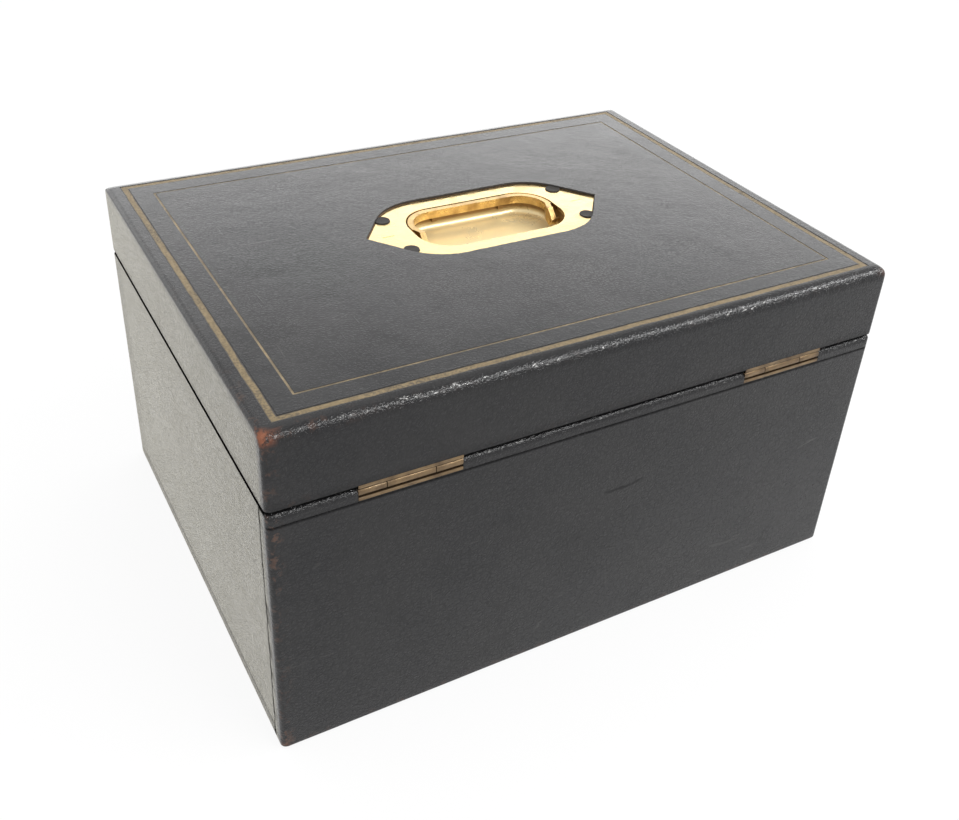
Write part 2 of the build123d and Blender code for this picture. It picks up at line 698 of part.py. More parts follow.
def bail_pin(side, spare=0.0):
    """A pivot pin through the pan's end wall; with spare, its hole."""
    from_corner = BAIL_PIVOT_Y - (WELL_WIDTH / 2 - WELL_CORNER)
    outer_radius = WELL_CORNER + PAN_WALL
    outer = WELL_LENGTH / 2 - WELL_CORNER
    outer = outer + math.sqrt(outer_radius ** 2 - (from_corner + BAIL_PIN_RADIUS) ** 2)
    inner = BAIL_ARM_OUTER - BAIL_BAND - BAIL_PIN_REACH
    span = sorted((side * inner, side * outer))
    span = (HANDLE_X + span[0] - 2 * spare, HANDLE_X + span[1] + 2 * spare)
    return rod_x(span, HANDLE_Y + BAIL_PIVOT_Y, BAIL_PIVOT_Z, BAIL_PIN_RADIUS + spare)


def handle_pan():
    """The sunk pan with a filleted floor, two rest lugs and the pivot pin holes."""
    pan = upright(well_outline(PAN_WALL), WELL_FLOOR - PAN_WALL, PLATE_UNDER)
    well = upright(well_outline(), WELL_FLOOR, PLATE_UNDER + OVERCUT)
    well = fillet(well.faces().sort_by(Axis.Z)[0].edges(), WELL_FILLET)
    pan = pan - well
    lug_top = BAIL_UNDER - REST_LUG_GAP
    lug_y = (HANDLE_Y - WELL_WIDTH / 2 - PAN_WALL / 2, HANDLE_Y - WELL_WIDTH / 2 + REST_LUG_REACH)
    for side in (-1, 1):
        x = HANDLE_X + side * REST_LUG_X
        pan = pan + block(
            (x - REST_LUG_WIDTH / 2, x + REST_LUG_WIDTH / 2),
            lug_y,
            (lug_top - REST_LUG_HEIGHT, lug_top),
        )
        pan = pan - bail_pin(side, FIT)
    return pan


def bail_arm(side):
    """One arm: it steps in from the grip and slopes down to its pivot eye."""
    grip_outer = WELL_LENGTH / 2 - BAIL_CLEARANCE
    end = BAIL_PIVOT_Y + BAIL_ARM_HEIGHT / 2
    start = BAIL_SHOULDER_Y - BAIL_ARM_LAP
    inner = BAIL_ARM_OUTER - BAIL_BAND
    outline = Polygon(
        (grip_outer, start), (BAIL_ARM_OUTER, BAIL_NECK_Y), (BAIL_ARM_OUTER, end),
        (inner, end), (inner, BAIL_NECK_Y), (grip_outer - BAIL_BAND, start),
        align=None,
    )
    half = BAIL_ARM_HEIGHT / 2
    outline = Pos(HANDLE_X, HANDLE_Y) * outline
    arm = upright(outline, BAIL_PIVOT_Z - half, BAIL_TOP)
    x = (HANDLE_X + inner - OVERCUT, HANDLE_X + grip_outer + OVERCUT)
    start_y = HANDLE_Y + start
    pivot_y = HANDLE_Y + BAIL_PIVOT_Y
    eye = rod_x(x, pivot_y, BAIL_PIVOT_Z, half)
    slant = half * math.sqrt(0.5)
    slope_top = pivot_y + slant - (BAIL_TOP - BAIL_PIVOT_Z - slant)
    stem = profile_x(
        [
            (start_y, BAIL_UNDER),
            (start_y, BAIL_TOP),
            (slope_top, BAIL_TOP),
            (pivot_y + slant, BAIL_PIVOT_Z + slant),
            (pivot_y - slant, BAIL_PIVOT_Z - slant),
        ],
        x,
    )
    arm = arm & (eye + stem)
    if side < 0:
        arm = mirror(arm, about=Plane.YZ.offset(HANDLE_X))
    return arm


def bail_handle():
    """The lifting bail: a flat band round the front of the well and two arms."""
    band = well_outline(-BAIL_CLEARANCE) - well_outline(-BAIL_CLEARANCE - BAIL_BAND)
    bail = upright(band, BAIL_UNDER, BAIL_TOP) & block(
        (-HALF_LENGTH, HALF_LENGTH), (-HALF_DEPTH, HANDLE_Y + BAIL_SHOULDER_Y), (0, BOX_HEIGHT)
    )
    for side in (-1, 1):
        bail = bail + bail_arm(side)
    for side in (-1, 1):
        bail = bail - bail_pin(side, PIN_CLEARANCE)
    return bail


def make_handle():
    plate = upright(plate_outline(), PLATE_UNDER, PLATE_TOP)
    plate = plate - upright(well_outline(), PLATE_UNDER - OVERCUT, PLATE_TOP + OVERCUT)
    holes = screw_holes(handle_screws, head_radius=HANDLE_SCREW_HEAD)
    nodes["handle_plate"] = plate - holes
    nodes["handle_pan"] = handle_pan()
    nodes["handle_screws"] = group(screws(handle_screws, head_radius=HANDLE_SCREW_HEAD))
    nodes["bail_handle"] = bail_handle()
    nodes["bail_pins"] = group(bail_pin(side) for side in (-1, 1))


# Lid

def gilt_ring(inset, width, z):
    """A straight-sided frame line whose middle is inset from the lid's edges."""
    outer = Rectangle(BOX_LENGTH - 2 * inset + width, BOX_DEPTH - 2 * inset + width)
    inner = Rectangle(BOX_LENGTH - 2 * inset - width, BOX_DEPTH - 2 * inset - width)
    return upright(outer - inner, z[0], z[1])


def make_lid():
    core = rounded_core((LID_CORE_BOTTOM, LID_CORE_TOP), True)
    wall_z = (LID_CORE_BOTTOM, LID_CEILING)
    whole = (-CORE_X, CORE_X)
    inner_y = (-LID_INNER_Y, LID_INNER_Y)
    boards = {
        "lid_top_board": block(whole, (-CORE_Y, CORE_Y), (LID_CEILING, LID_CORE_TOP)),
        "lid_front_board": block(whole, (-CORE_Y, -LID_INNER_Y), wall_z),
        "lid_back_board": block(whole, (LID_INNER_Y, CORE_Y), wall_z),
        "lid_left_board": block((-CORE_X, -LID_INNER_X), inner_y, wall_z),
        "lid_right_board": block((LID_INNER_X, CORE_X), inner_y, wall_z),
    }
    handle_cuts = [
        upright(plate_outline(LEATHER_CUT), PLATE_UNDER, BOX_HEIGHT + OVERCUT),
        upright(well_outline(PAN_WALL + BOARD_CUT), LID_CEILING - OVERCUT, PLATE_UNDER + OVERCUT),
        screw_holes(handle_screws, head_radius=HANDLE_SCREW_HEAD),
    ]
    rim_cuts = [
        plate_on_rim((LID_BOTTOM - OVERCUT, LID_BOTTOM + SELVEDGE)),
        screw_holes(link_screws),
        lid_leaf_pockets(),
        screw_holes(lid_hinge_screws),
    ]
    cuts = {
        "lid_top_board": handle_cuts,
        "lid_front_board": rim_cuts,
        "lid_back_board": rim_cuts,
    }
    for name, board in boards.items():
        nodes[name] = cut_all(board & core, cuts.get(name, []))

    leather = block(
        (-HALF_LENGTH, HALF_LENGTH), (-HALF_DEPTH, HALF_DEPTH), (LID_BOTTOM, BOX_HEIGHT)
    )
    top_edges = leather.faces().sort_by(Axis.Z)[-1].edges()
    leather = fillet(leather.edges().filter_by(Axis.Z) + top_edges, CORNER_ROUND)
    leather = fillet(leather.faces().sort_by(Axis.Z)[0].edges(), RIM_ROUND)
    leather = leather - core
    leather = leather - block(
        (-LID_INNER_X, LID_INNER_X), inner_y, (LID_BOTTOM - OVERCUT, LID_CEILING)
    )
    groove_z = (BOX_HEIGHT - GILT_GROOVE, BOX_HEIGHT + OVERCUT)
    gilt_z = (BOX_HEIGHT - GILT_GROOVE, BOX_HEIGHT - GILT_GROOVE + GILT_THICKNESS)
    for name, inset, width in (
        ("gilt_line_wide", WIDE_GILT_INSET, WIDE_GILT_WIDTH),
        ("gilt_line_fine", FINE_GILT_INSET, FINE_GILT_WIDTH),
    ):
        leather = leather - gilt_ring(inset, width, groove_z)
        nodes[name] = gilt_ring(inset, width, gilt_z)
    nodes["lid_leather_cover"] = cut_all(leather, handle_cuts + rim_cuts)

    strip_z = (LID_BOTTOM + LINING_BELOW_RIM, LID_CEILING)
    whole = (-LID_INNER_X, LID_INNER_X)
    lined_x = LID_INNER_X - LINING
    lined_y = LID_INNER_Y - LINING
    nodes["lid_front_lining"] = block(whole, (-LID_INNER_Y, -lined_y), strip_z)
    nodes["lid_back_lining"] = block(whole, (lined_y, LID_INNER_Y), strip_z)
    right = block((lined_x, LID_INNER_X), (-lined_y, lined_y), strip_z)
    nodes["lid_right_lining"] = right
    nodes["lid_left_lining"] = mirrored_x(right)
    reach_x = lined_x - SOFT_CLEARANCE
    reach_y = lined_y - SOFT_CLEARANCE
    nodes["lid_pad"] = pad(
        (-reach_x, reach_x), (-reach_y, reach_y), LID_CEILING, LID_PAD, -1
    )


# Tray

def ring_rolls():
    """A row of padded rolls, side by side, that hold rings between them."""
    pitch = ROLL_COMPARTMENT - DIVIDER / 2
    pitch = (pitch - SOFT_CLEARANCE) / ROLL_COUNT
    width = pitch - SOFT_CLEARANCE
    length = 2 * (TRAY_INNER_Y - SOFT_CLEARANCE)
    rolls = []
    for index in range(ROLL_COUNT):
        outline = Rectangle(width, ROLL_HEIGHT - width / 2, align=(Align.CENTER, Align.MIN))
        outline = outline + Pos(0, ROLL_HEIGHT - width / 2) * Circle(width / 2)
        roll = extrude(Plane.XZ * outline, length / 2, both=True)
        ends = roll.faces().sort_by(Axis.Y)
        roll = fillet(ends[0].edges() + ends[-1].edges(), ROLL_END_ROUND)
        x = -TRAY_INNER_X + SOFT_CLEARANCE + pitch * index + width / 2
        rolls.append(Pos(x, 0, TRAY_FLOOR) * roll)
    return group(rolls)


def lift_tab():
    """A ribbon glued inside the tray's right wall, looped up and over."""
    outer = Circle(TAB_LOOP)
    loop = outer - Circle(TAB_LOOP - TAB)
    loop = loop & Pos(0, TAB_LOOP) * Rectangle(4 * TAB_LOOP, 2 * TAB_LOOP)
    for x in (-TAB_LOOP + TAB / 2, TAB_LOOP - TAB / 2):
        loop = loop + Pos(x, -TAB_LEG / 2) * Rectangle(TAB, TAB_LEG)
    ribbon = extrude(Plane.XZ * loop, TAB_WIDTH / 2, both=True)
    return Pos(TRAY_INNER_X - TAB_LOOP, 0, TRAY_TOP + TAB_RISE - TAB_LOOP) * ribbon


def make_tray():
    wall_z = (TRAY_FLOOR, TRAY_TOP)
    whole = (-TRAY_X, TRAY_X)
    inner_y = (-TRAY_INNER_Y, TRAY_INNER_Y)
    nodes["tray_bottom"] = block(whole, (-TRAY_Y, TRAY_Y), (TRAY_UNDER, TRAY_FLOOR))
    nodes["tray_front_wall"] = block(whole, (-TRAY_Y, -TRAY_INNER_Y), wall_z)
    nodes["tray_back_wall"] = block(whole, (TRAY_INNER_Y, TRAY_Y), wall_z)
    right = block((TRAY_INNER_X, TRAY_X), inner_y, wall_z)
    nodes["tray_right_wall"] = right
    nodes["tray_left_wall"] = mirrored_x(right)
    cross_x = (DIVIDER_X - DIVIDER / 2, DIVIDER_X + DIVIDER / 2)
    nodes["tray_cross_divider"] = block(cross_x, inner_y, (TRAY_FLOOR, DIVIDER_TOP))
    nodes["tray_long_divider"] = block(
        (cross_x[1], TRAY_INNER_X), (-DIVIDER / 2, DIVIDER / 2), (TRAY_FLOOR, DIVIDER_TOP)
    )
    nodes["ring_rolls"] = ring_rolls()
    pad_x = (cross_x[1] + SOFT_CLEARANCE, TRAY_INNER_X - SOFT_CLEARANCE)
    pad_y = (DIVIDER / 2 + SOFT_CLEARANCE, TRAY_INNER_Y - SOFT_CLEARANCE)
    back_pad = pad(pad_x, pad_y, TRAY_FLOOR, TRAY_PAD, 1)
    front_pad = pad(pad_x, (-pad_y[1], -pad_y[0]), TRAY_FLOOR, TRAY_PAD, 1)
    nodes["tray_pads"] = group([front_pad, back_pad])
    tab = lift_tab()
    nodes["tray_lift_tabs"] = group([tab, mirrored_x(tab)])


make_base()
make_lock()
make_lid()
make_handle()
make_hinges()
make_tray()

os.makedirs("parts", exist_ok=True)
for name, shape in nodes.items():
    export_step(shape, "parts/" + name + ".step")
print(len(nodes), "pieces, bolt throw", round(BOLT_THROW, 4), "tray lift", TRAY_LIFT)
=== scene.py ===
import json
import math

import bmesh
import bpy
from mathutils import Matrix, Vector, noise


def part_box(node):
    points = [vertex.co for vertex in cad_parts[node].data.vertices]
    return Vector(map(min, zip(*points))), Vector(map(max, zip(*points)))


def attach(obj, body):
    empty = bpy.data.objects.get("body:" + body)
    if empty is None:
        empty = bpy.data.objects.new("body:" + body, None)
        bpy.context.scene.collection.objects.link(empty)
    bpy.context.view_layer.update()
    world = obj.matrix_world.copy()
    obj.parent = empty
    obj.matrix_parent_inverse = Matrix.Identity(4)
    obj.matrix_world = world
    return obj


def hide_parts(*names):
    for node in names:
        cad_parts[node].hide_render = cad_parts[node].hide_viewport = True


# The looks of a leather-covered jewellery box: black leather, gilt lines, a flush
# brass handle, stopped brass hinges, a front lock and a claret interior.

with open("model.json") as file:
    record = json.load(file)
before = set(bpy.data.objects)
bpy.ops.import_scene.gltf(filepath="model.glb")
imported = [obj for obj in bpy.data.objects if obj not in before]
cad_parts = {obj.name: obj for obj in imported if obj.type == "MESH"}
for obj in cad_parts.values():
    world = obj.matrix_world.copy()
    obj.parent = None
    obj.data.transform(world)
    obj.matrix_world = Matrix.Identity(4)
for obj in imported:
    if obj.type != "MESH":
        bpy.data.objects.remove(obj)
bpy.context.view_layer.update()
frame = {"nodes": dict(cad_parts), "record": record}
nodes = frame["nodes"]
SLOTS = {part["node"]: part["material_slot"] for part in frame["record"]["subparts"]}

MM = 0.001
MERGE = 0.001 * MM       # corners closer than this are one corner

# The photograph's camera: its frame, focal length and optical axis in pixels, the width
# of film that stands for the frame, its place in metres and its direction in degrees
PHOTO_WIDTH = 959
PHOTO_HEIGHT = 820
FOCAL_PIXELS = 1103.5
AXIS_U = 489.6
AXIS_V = 348.3
SENSOR = 36.0
CAMERA_PLACE = (0.2024, 0.3458, 0.3327)
CAMERA_AZIMUTH = 31.10
CAMERA_ELEVATION = 32.19
CAMERA_ROLL = 3.51

# The light: white surroundings, brighter low down behind the box, two lamps in watts,
# and how much of the floor's white is its own
SKY_LEVEL = 0.95
BRIGHT_LEVEL = 2.9
BRIGHT_SIDE = (-0.52, -0.76, 0.30)
BRIGHT_SPREAD = (0.2, 0.9)
BRIGHT_HEIGHT = (0.56, 0.26)
OVERHEAD_LAMP = ((0.1, -0.3, 1.6), (0, 0, 0.05), (1.4, 1.4), 4.0)
EDGE_LAMP = ((-0.70, 0.80, 1.05), (0, 0.05, 0.1), (1.6, 0.10), 11.0)
FLOOR_GLOW = 0.88

# The leather's thickness, the spacing of its mesh and its soft unevenness
LEATHER = 0.85 * MM
SKIN_STEP = 3.2 * MM
CORNER_SEGMENTS = 6
UNEVENNESS = 0.10 * MM
LEATHER_SHARP = 35.0     # degrees, above which an edge stays crisp

# The roundings of the lid's leather and the base's, and how far it is turned in below
UPRIGHT_ROUND = 2.2 * MM
LID_TOP_ROUND = 5.0 * MM
LID_END_ROUND = 2.2 * MM
LID_FOOT_ROUND = 1.0 * MM
RIM_ROUND = 0.9 * MM
BACK_RIM_ROUND = 2.7 * MM
FOOT_ROUND = 1.3 * MM
TURN_IN = 13.0 * MM

# The blind creases, and the back's leather lapped over the end's
BACK_CREASE_BELOW = 5.0 * MM
BACK_CREASE_DEPTH = 0.45 * MM
END_CREASE_HEIGHT = 4.6 * MM
END_CREASE_DEPTH = 0.3 * MM
CREASE_STEP = 0.45 * MM
BY_CREASE = 0.3 * MM
LAP_WIDTH = 7.0 * MM
LAP_STEP = 0.45 * MM

# What is painted on the leather's mesh for its material: wear, and the masks for its painted
# highlight flecks, painted seam shade and painted end lightening
WEAR_NAMES = ("wear", "corner_wear", "rubbed", "edge_shine", "shaded_seam", "painted_end_light", "highlight_flecks")

# Dents and swellings in the lid's top: place, radius and depth in millimetres
DENTS = (
    ((92.1, 5.0), 3.4, 0.35), ((-12.7, 36.3), 3.2, 0.30), ((-11.9, -37.5), 3.5, -0.18),
    ((75.7, 39.7), 4.0, 0.20), ((-70.0, 45.0), 6.0, 0.15), ((20.0, -70.0), 7.0, 0.15),
    ((58.0, -22.0), 5.0, 0.12), ((-95.0, -40.0), 6.0, 0.18),
)

# Creases and a scratch in the back's leather, from and to (x, z)
LONG_CREASE = ((-21.7 * MM, 72.1 * MM), (-1.0 * MM, 70.7 * MM))
SHORT_CREASE = ((4.6 * MM, 54.9 * MM), (10.8 * MM, 52.6 * MM))
BACK_SCRATCH = ((-112.5 * MM, 63.7 * MM), (-99.5 * MM, 59.3 * MM))

# Gilt lines: middle and width of each, measured from the lid's edge, the depth of
# their grooves, and a place between the two
GILT_LINES = ((6.8 * MM, 3.0 * MM), (16.6 * MM, 0.9 * MM))
GILT_GROOVE = 0.25 * MM
BETWEEN_LINES = 11.0 * MM

# The handle plate's outline, the dirt in its notches, the leather's clearance round it,
# and the round ends of the lock's and link plate's cuts
PLATE_STRAIGHT = 44.0 * MM
GABLE_FOOT = 42.8 * MM
NOTCH_X = 40.4 * MM
NOTCH_Y = 13.6 * MM
NOTCH_RADIUS = 3.2 * MM
NOTCH_FILL_UP = 0.45 * MM
NOTCH_FILL_DEPTH = 1.2 * MM
PLATE_CUT = 0.25 * MM
SLOT_ROUND = 2.49 * MM

# Where the brass is painted darker: up the pan's walls, as painted shade and darker reflection,
# and in the hinges' parting, as painted shade
PAN_WALL_SHADE = (129.0 * MM, 131.6 * MM)
HINGE_PARTING = 108.06 * MM
PARTING_WIDTH = (0.16 * MM, 0.36 * MM)
KNUCKLE_FRONT = 92.5 * MM

# Padding: its pressure, how long it settles, how far its sides may move, the width of
# its glued border, the strips it is fitted to its space in, its ripples and its fill
PRESSURE = 4.0
CLOTH_FRAMES = 20
SIDE_CAP = 0.5 * MM
GLUE_BAND = 1.2 * MM
FILL_STRIPS = 30
CORNER_REACH = 5 * MM
RIPPLE = 0.35 * MM

# Ring rolls, lining cards and lift tabs
ROLLS = 5
ROLL_GAP = 0.3 * MM
ROLL_CAP = 0.7 * MM
CARD_STEP = 6 * MM
TAB_RADIUS = 5.0 * MM
TAB_THICKNESS = 0.5 * MM


# Making and finishing meshes

def block(low, high):
    """A bmesh of a plain block."""
    bm = bmesh.new()
    bmesh.ops.create_cube(bm, size=1.0)
    bmesh.ops.scale(bm, vec=high - low, verts=bm.verts)
    bmesh.ops.translate(bm, vec=(low + high) / 2, verts=bm.verts)
    return bm


def divide(bm, axis, place, faces=None, reach=0.0):
    """Cuts a mesh, or some of its faces, across an axis at a place."""
    point, way = Vector((0, 0, 0)), Vector((0, 0, 0))
    point[axis] = place
    way[axis] = 1.0
    parts = bm.verts[:] + bm.edges[:] + bm.faces[:]
    if faces is not None:
        parts = list({v for f in faces for v in f.verts})
        parts += list({e for f in faces for e in f.edges}) + faces
    bmesh.ops.bisect_plane(bm, geom=parts, dist=reach, plane_co=point, plane_no=way)


def as_object(bm, name):
    """Ends a bmesh as an object in the scene."""
    mesh = bpy.data.meshes.new(name)
    bm.to_mesh(mesh)
    bm.free()
    made = bpy.data.objects.new(name, mesh)
    bpy.context.scene.collection.objects.link(made)
    return made


def shade(piece, angle=30.0):
    """Smooth shading, with edges sharper than the angle left crisp."""
    mesh = piece.data
    mesh.polygons.foreach_set("use_smooth", [True] * len(mesh.polygons))
    mesh.set_sharp_from_angle(angle=math.radians(angle))


def set_materials(piece, *materials):
    """Gives a piece its materials, in slot order."""
    piece.data.materials.clear()
    for material in materials:
        piece.data.materials.append(material)


def apply_modifiers(piece):
    """Replaces a piece's mesh by what its modifiers make of it."""
    graph = bpy.context.evaluated_depsgraph_get()
    mesh = bpy.data.meshes.new_from_object(piece.evaluated_get(graph))
    piece.modifiers.clear()
    old = piece.data
    piece.data = mesh
    bpy.data.meshes.remove(old)


def combine(piece, other, operation):
    """Cuts one solid from another, or joins the two, and removes the second."""
    step = piece.modifiers.new(operation, "BOOLEAN")
    step.operation = operation
    step.object = other
    step.solver = "EXACT"
    step.material_mode = "TRANSFER"
    apply_modifiers(piece)
    bpy.data.objects.remove(other)


def prism(name, low, high, bevel=0.0, segments=1):
    """A block with its upright edges rounded, that cuts leather."""
    bm = block(low, high)
    if bevel:
        upright = [e for e in bm.edges if abs((e.verts[0].co - e.verts[1].co).z) > MERGE]
        bmesh.ops.bevel(
            bm, geom=upright, offset=bevel, affect="EDGES", segments=segments,
            profile=0.5, material=-1, clamp_overlap=True,
        )
    made = as_object(bm, name)
    set_materials(made, LEATHER_RAW)
    return made


def rod(name, middle, radius, depth, turn, sides):
    """A round bar, that cuts leather."""
    bm = bmesh.new()
    bmesh.ops.create_cone(
        bm, cap_ends=True, segments=sides, radius1=radius, radius2=radius, depth=depth
    )
    bmesh.ops.transform(bm, matrix=turn.to_4x4(), verts=bm.verts)
    bmesh.ops.translate(bm, vec=middle, verts=bm.verts)
    made = as_object(bm, name)
    set_materials(made, LEATHER_RAW)
    return made


def ride_for(piece, node, body):
    """Puts a finished piece in a CAD node's place, on its body."""
    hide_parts(node)
    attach(piece, body)


# Material helpers

class Nodes:
    """A tree of shader nodes, and short ways to add to it."""

    def __init__(self, tree):
        self.tree = tree

    def give(self, socket, value):
        """Links a value from another node, or sets a constant."""
        if isinstance(value, bpy.types.NodeSocket):
            self.tree.links.new(value, socket)
        else:
            socket.default_value = value

    def add(self, kind, settings=None, **inputs):
        """A new node with its settings and inputs."""
        made = self.tree.nodes.new(kind)
        for key, value in (settings or {}).items():
            setattr(made, key, value)
        for key, value in inputs.items():
            self.give(made.inputs[key.replace("_", " ")], value)
        return made

    def sum_of(self, kind, operation, *values, clamp=False):
        """A node that works on several values, in order."""
        made = self.add(kind, {"operation": operation})
        if clamp:
            made.use_clamp = True
        for socket, value in zip(made.inputs, values):
            self.give(socket, value)
        return made.outputs

    def math(self, operation, *values, clamp=False):
        """One sum on one to three values."""
        return self.sum_of("ShaderNodeMath", operation, *values, clamp=clamp)[0]

    def times(self, first, second, clamp=False):
        """Two values multiplied."""
        return self.math("MULTIPLY", first, second, clamp=clamp)

    def rest_of(self, value):
        """What a value leaves of 1."""
        return self.math("SUBTRACT", 1.0, value, clamp=True)

    def line(self, value, slope, start):
        """A start plus a slope times the value."""
        return self.math("MULTIPLY_ADD", value, slope, start)

    def dot(self, vector, way):
        """How far a vector reaches along a way."""
        return self.sum_of("ShaderNodeVectorMath", "DOT_PRODUCT", vector, tuple(way))["Value"]

    def band(self, value, low, high, to_low=0.0, to_high=1.0):
        """A value taken smoothly from one range to another, and held at its ends."""
        made = self.add(
            "ShaderNodeMapRange", {"interpolation_type": "SMOOTHSTEP"}, Value=value,
            From_Min=low, From_Max=high, To_Min=to_low, To_Max=to_high,
        )
        return made.outputs["Result"]


class Finish(Nodes):
    """A material and its shader, with patterns on the piece's own coordinates."""

    def __init__(self, name, **sockets):
        self.material = bpy.data.materials.new(name)
        self.material.use_nodes = True
        super().__init__(self.material.node_tree)
        self.shader = self.tree.nodes["Principled BSDF"]
        self.coordinates = self.add("ShaderNodeTexCoord").outputs["Object"]
        self.set(**sockets)

    def set(self, **sockets):
        """Sets or links the shader's sockets."""
        for socket, value in sockets.items():
            self.give(self.shader.inputs[socket.replace("_", " ")], value)

    def noise(self, scale, detail=3.0, roughness=0.5, distortion=0.0, at=None):
        """A noise value between 0 and 1."""
        made = self.add(
            "ShaderNodeTexNoise", Vector=at or self.coordinates, Scale=scale, Detail=detail,
            Roughness=roughness, Distortion=distortion,
        )
        return made.outputs["Fac"]

    def streaks(self, x, y, z, detail=3.0, roughness=0.5, distortion=0.0, scale=1.0):
        """Noise drawn out by its own scale along each axis."""
        return self.noise(scale, detail, roughness, distortion, at=self.stretched(x, y, z))

    def cells(self, scale, at):
        """The distance to the nearest border in a pattern of cells."""
        made = self.add(
            "ShaderNodeTexVoronoi", {"feature": "DISTANCE_TO_EDGE"}, Vector=at, Scale=scale,
            Randomness=1.0,
        )
        return made.outputs["Distance"]

    def mix(self, factor, first, second):
        """A colour between two others."""
        made = self.add("ShaderNodeMix", {"data_type": "RGBA"})
        self.give(made.inputs[0], factor)
        self.give(made.inputs[6], first)
        self.give(made.inputs[7], second)
        return made.outputs[2]

    def attribute(self, name):
        """A value painted on the mesh."""
        return self.add("ShaderNodeAttribute", {"attribute_name": name}).outputs["Fac"]

    def axis(self, letter):
        """One coordinate of the point on the piece."""
        made = self.add("ShaderNodeSeparateXYZ", Vector=self.coordinates)
        return made.outputs[letter]

    def stretched(self, x, y, z):
        """The coordinates with each axis scaled."""
        made = self.add("ShaderNodeMapping", Vector=self.coordinates, Scale=(x, y, z))
        return made.outputs["Vector"]

    def bump(self, height, distance, strength=1.0, under=None):
        """A bump of a height in metres."""
        made = self.add("ShaderNodeBump", Height=height, Distance=distance, Strength=strength)
        if under:
            self.give(made.inputs["Normal"], under)
        return made.outputs["Normal"]


# Materials

def leather_grain(f):
    """The hide's pebbles and the fine creases between them."""
    jitter = f.add("ShaderNodeTexNoise", Vector=f.coordinates, Scale=420.0, Detail=2.0)
    warped = f.sum_of(
        "ShaderNodeVectorMath", "MULTIPLY_ADD", jitter.outputs["Color"], (1.1 * MM,) * 3,
        f.coordinates,
    )[0]
    pebbles = f.band(f.cells(720.0, warped), 0.0, 0.22)
    creases = f.band(f.noise(1500.0, 3.0, 0.6), 0.3, 0.75)
    return f.math("ADD", f.times(pebbles, 0.7), f.times(creases, 0.35))


def back_mark(f, ends, width):
    """A fine, wandering line between two points (x, z) on the box's back."""
    start, end = (Vector((x, 0.0, z)) for x, z in ends)
    length = (end - start).length
    way = (end - start).normalized()
    side = Vector((-way.z, 0.0, way.x))
    along = f.math("SUBTRACT", f.dot(f.coordinates, way), start.dot(way))
    across = f.math("SUBTRACT", f.dot(f.coordinates, side), start.dot(side))
    wobble = f.times(f.math("SUBTRACT", f.noise(110.0, 4.0, 0.6), 0.5), 4 * MM)
    line = f.band(f.math("ABSOLUTE", f.math("ADD", across, wobble)), 0.0, width, 1.0, 0.0)
    faded = f.times(
        f.band(along, 0.0, 6 * MM), f.band(along, length - 3 * MM, length, 1.0, 0.0)
    )
    on_back = f.math("GREATER_THAN", f.axis("Y"), 93 * MM)
    return f.times(f.times(line, faded), on_back)


def leather_colour(f, at, bare):
    """Near-black with a random mottling, worn brown by the corner, red where it is bare, with
    painted white highlight flecks along the back's rounded edges, painted black shade in its
    seams, and the end lightened and warmed as a painted reflection."""
    cloudy = f.band(f.noise(24.0, 5.0, 0.6), 0.35, 0.75)
    black = f.mix(
        f.noise(140.0, 3.0), (0.0060, 0.0060, 0.0072, 1.0), (0.0092, 0.0090, 0.0098, 1.0)
    )
    # Painted reflection: on the end, the colour is lightened and warmed to stand in for the
    # white surroundings' reflection at a grazing angle; the mottling is random
    end_lightening = f.times(at["painted_end_light"], f.band(cloudy, 0.0, 1.0, 0.7, 1.0))
    mottled_and_lightened = f.mix(f.times(cloudy, 0.2), black, (0.022, 0.020, 0.018, 1.0))
    mottled_and_lightened = f.mix(end_lightening, mottled_and_lightened, (0.021, 0.0195, 0.0165, 1.0))
    brown = f.mix(f.noise(700.0, 4.0), (0.040, 0.019, 0.012, 1.0), (0.090, 0.048, 0.032, 1.0))
    worn = f.times(at["wear"], f.band(f.noise(330.0, 6.0, 0.7), 0.52, 0.62), clamp=True)
    colour = f.mix(worn, mottled_and_lightened, brown)

    flecks = f.band(f.noise(620.0, 5.0, 0.75), 0.70, 0.76)
    colour = f.mix(f.times(flecks, 0.25), colour, (0.16, 0.15, 0.14, 1.0))
    long_ways = f.streaks(26.0, 900.0, 160.0, 3.0, 0.5, 1.4)
    cross_ways = f.streaks(700.0, 30.0, 150.0, 3.0, 0.5, 1.4)
    scratches = f.math("MAXIMUM", f.band(long_ways, 0.70, 0.74), f.band(cross_ways, 0.70, 0.74))
    colour = f.mix(f.times(scratches, 0.16), colour, (0.085, 0.080, 0.074, 1.0))

    # Painted highlight: white flecks in a band along the back's rounded edges, where the edge
    # lamp's highlight falls
    sparkle_specks = f.band(f.streaks(420.0, 900.0, 900.0, 5.0, 0.72, 0.6), 0.585, 0.63)
    along = f.band(f.streaks(38.0, 3.0, 3.0, 3.0, 0.6), 0.36, 0.62, 0.10, 0.85)
    white = f.times(f.times(at["highlight_flecks"], along), sparkle_specks, clamp=True)
    colour = f.mix(white, colour, (0.78, 0.77, 0.75, 1.0))
    red = f.mix(f.noise(900.0, 5.0, 0.7), (0.110, 0.035, 0.020, 1.0), (0.330, 0.150, 0.095, 1.0))
    colour = f.mix(bare, colour, red)
    # Painted shade: near-black in the gap between lid and base, along the lapped seam on the end
    # and in the back's crease
    colour = f.mix(at["shaded_seam"], colour, (0.002, 0.002, 0.002, 1.0))
    scratch = back_mark(f, BACK_SCRATCH, 0.7 * MM)
    return f.mix(f.times(scratch, 0.22), colour, (0.10, 0.095, 0.09, 1.0))


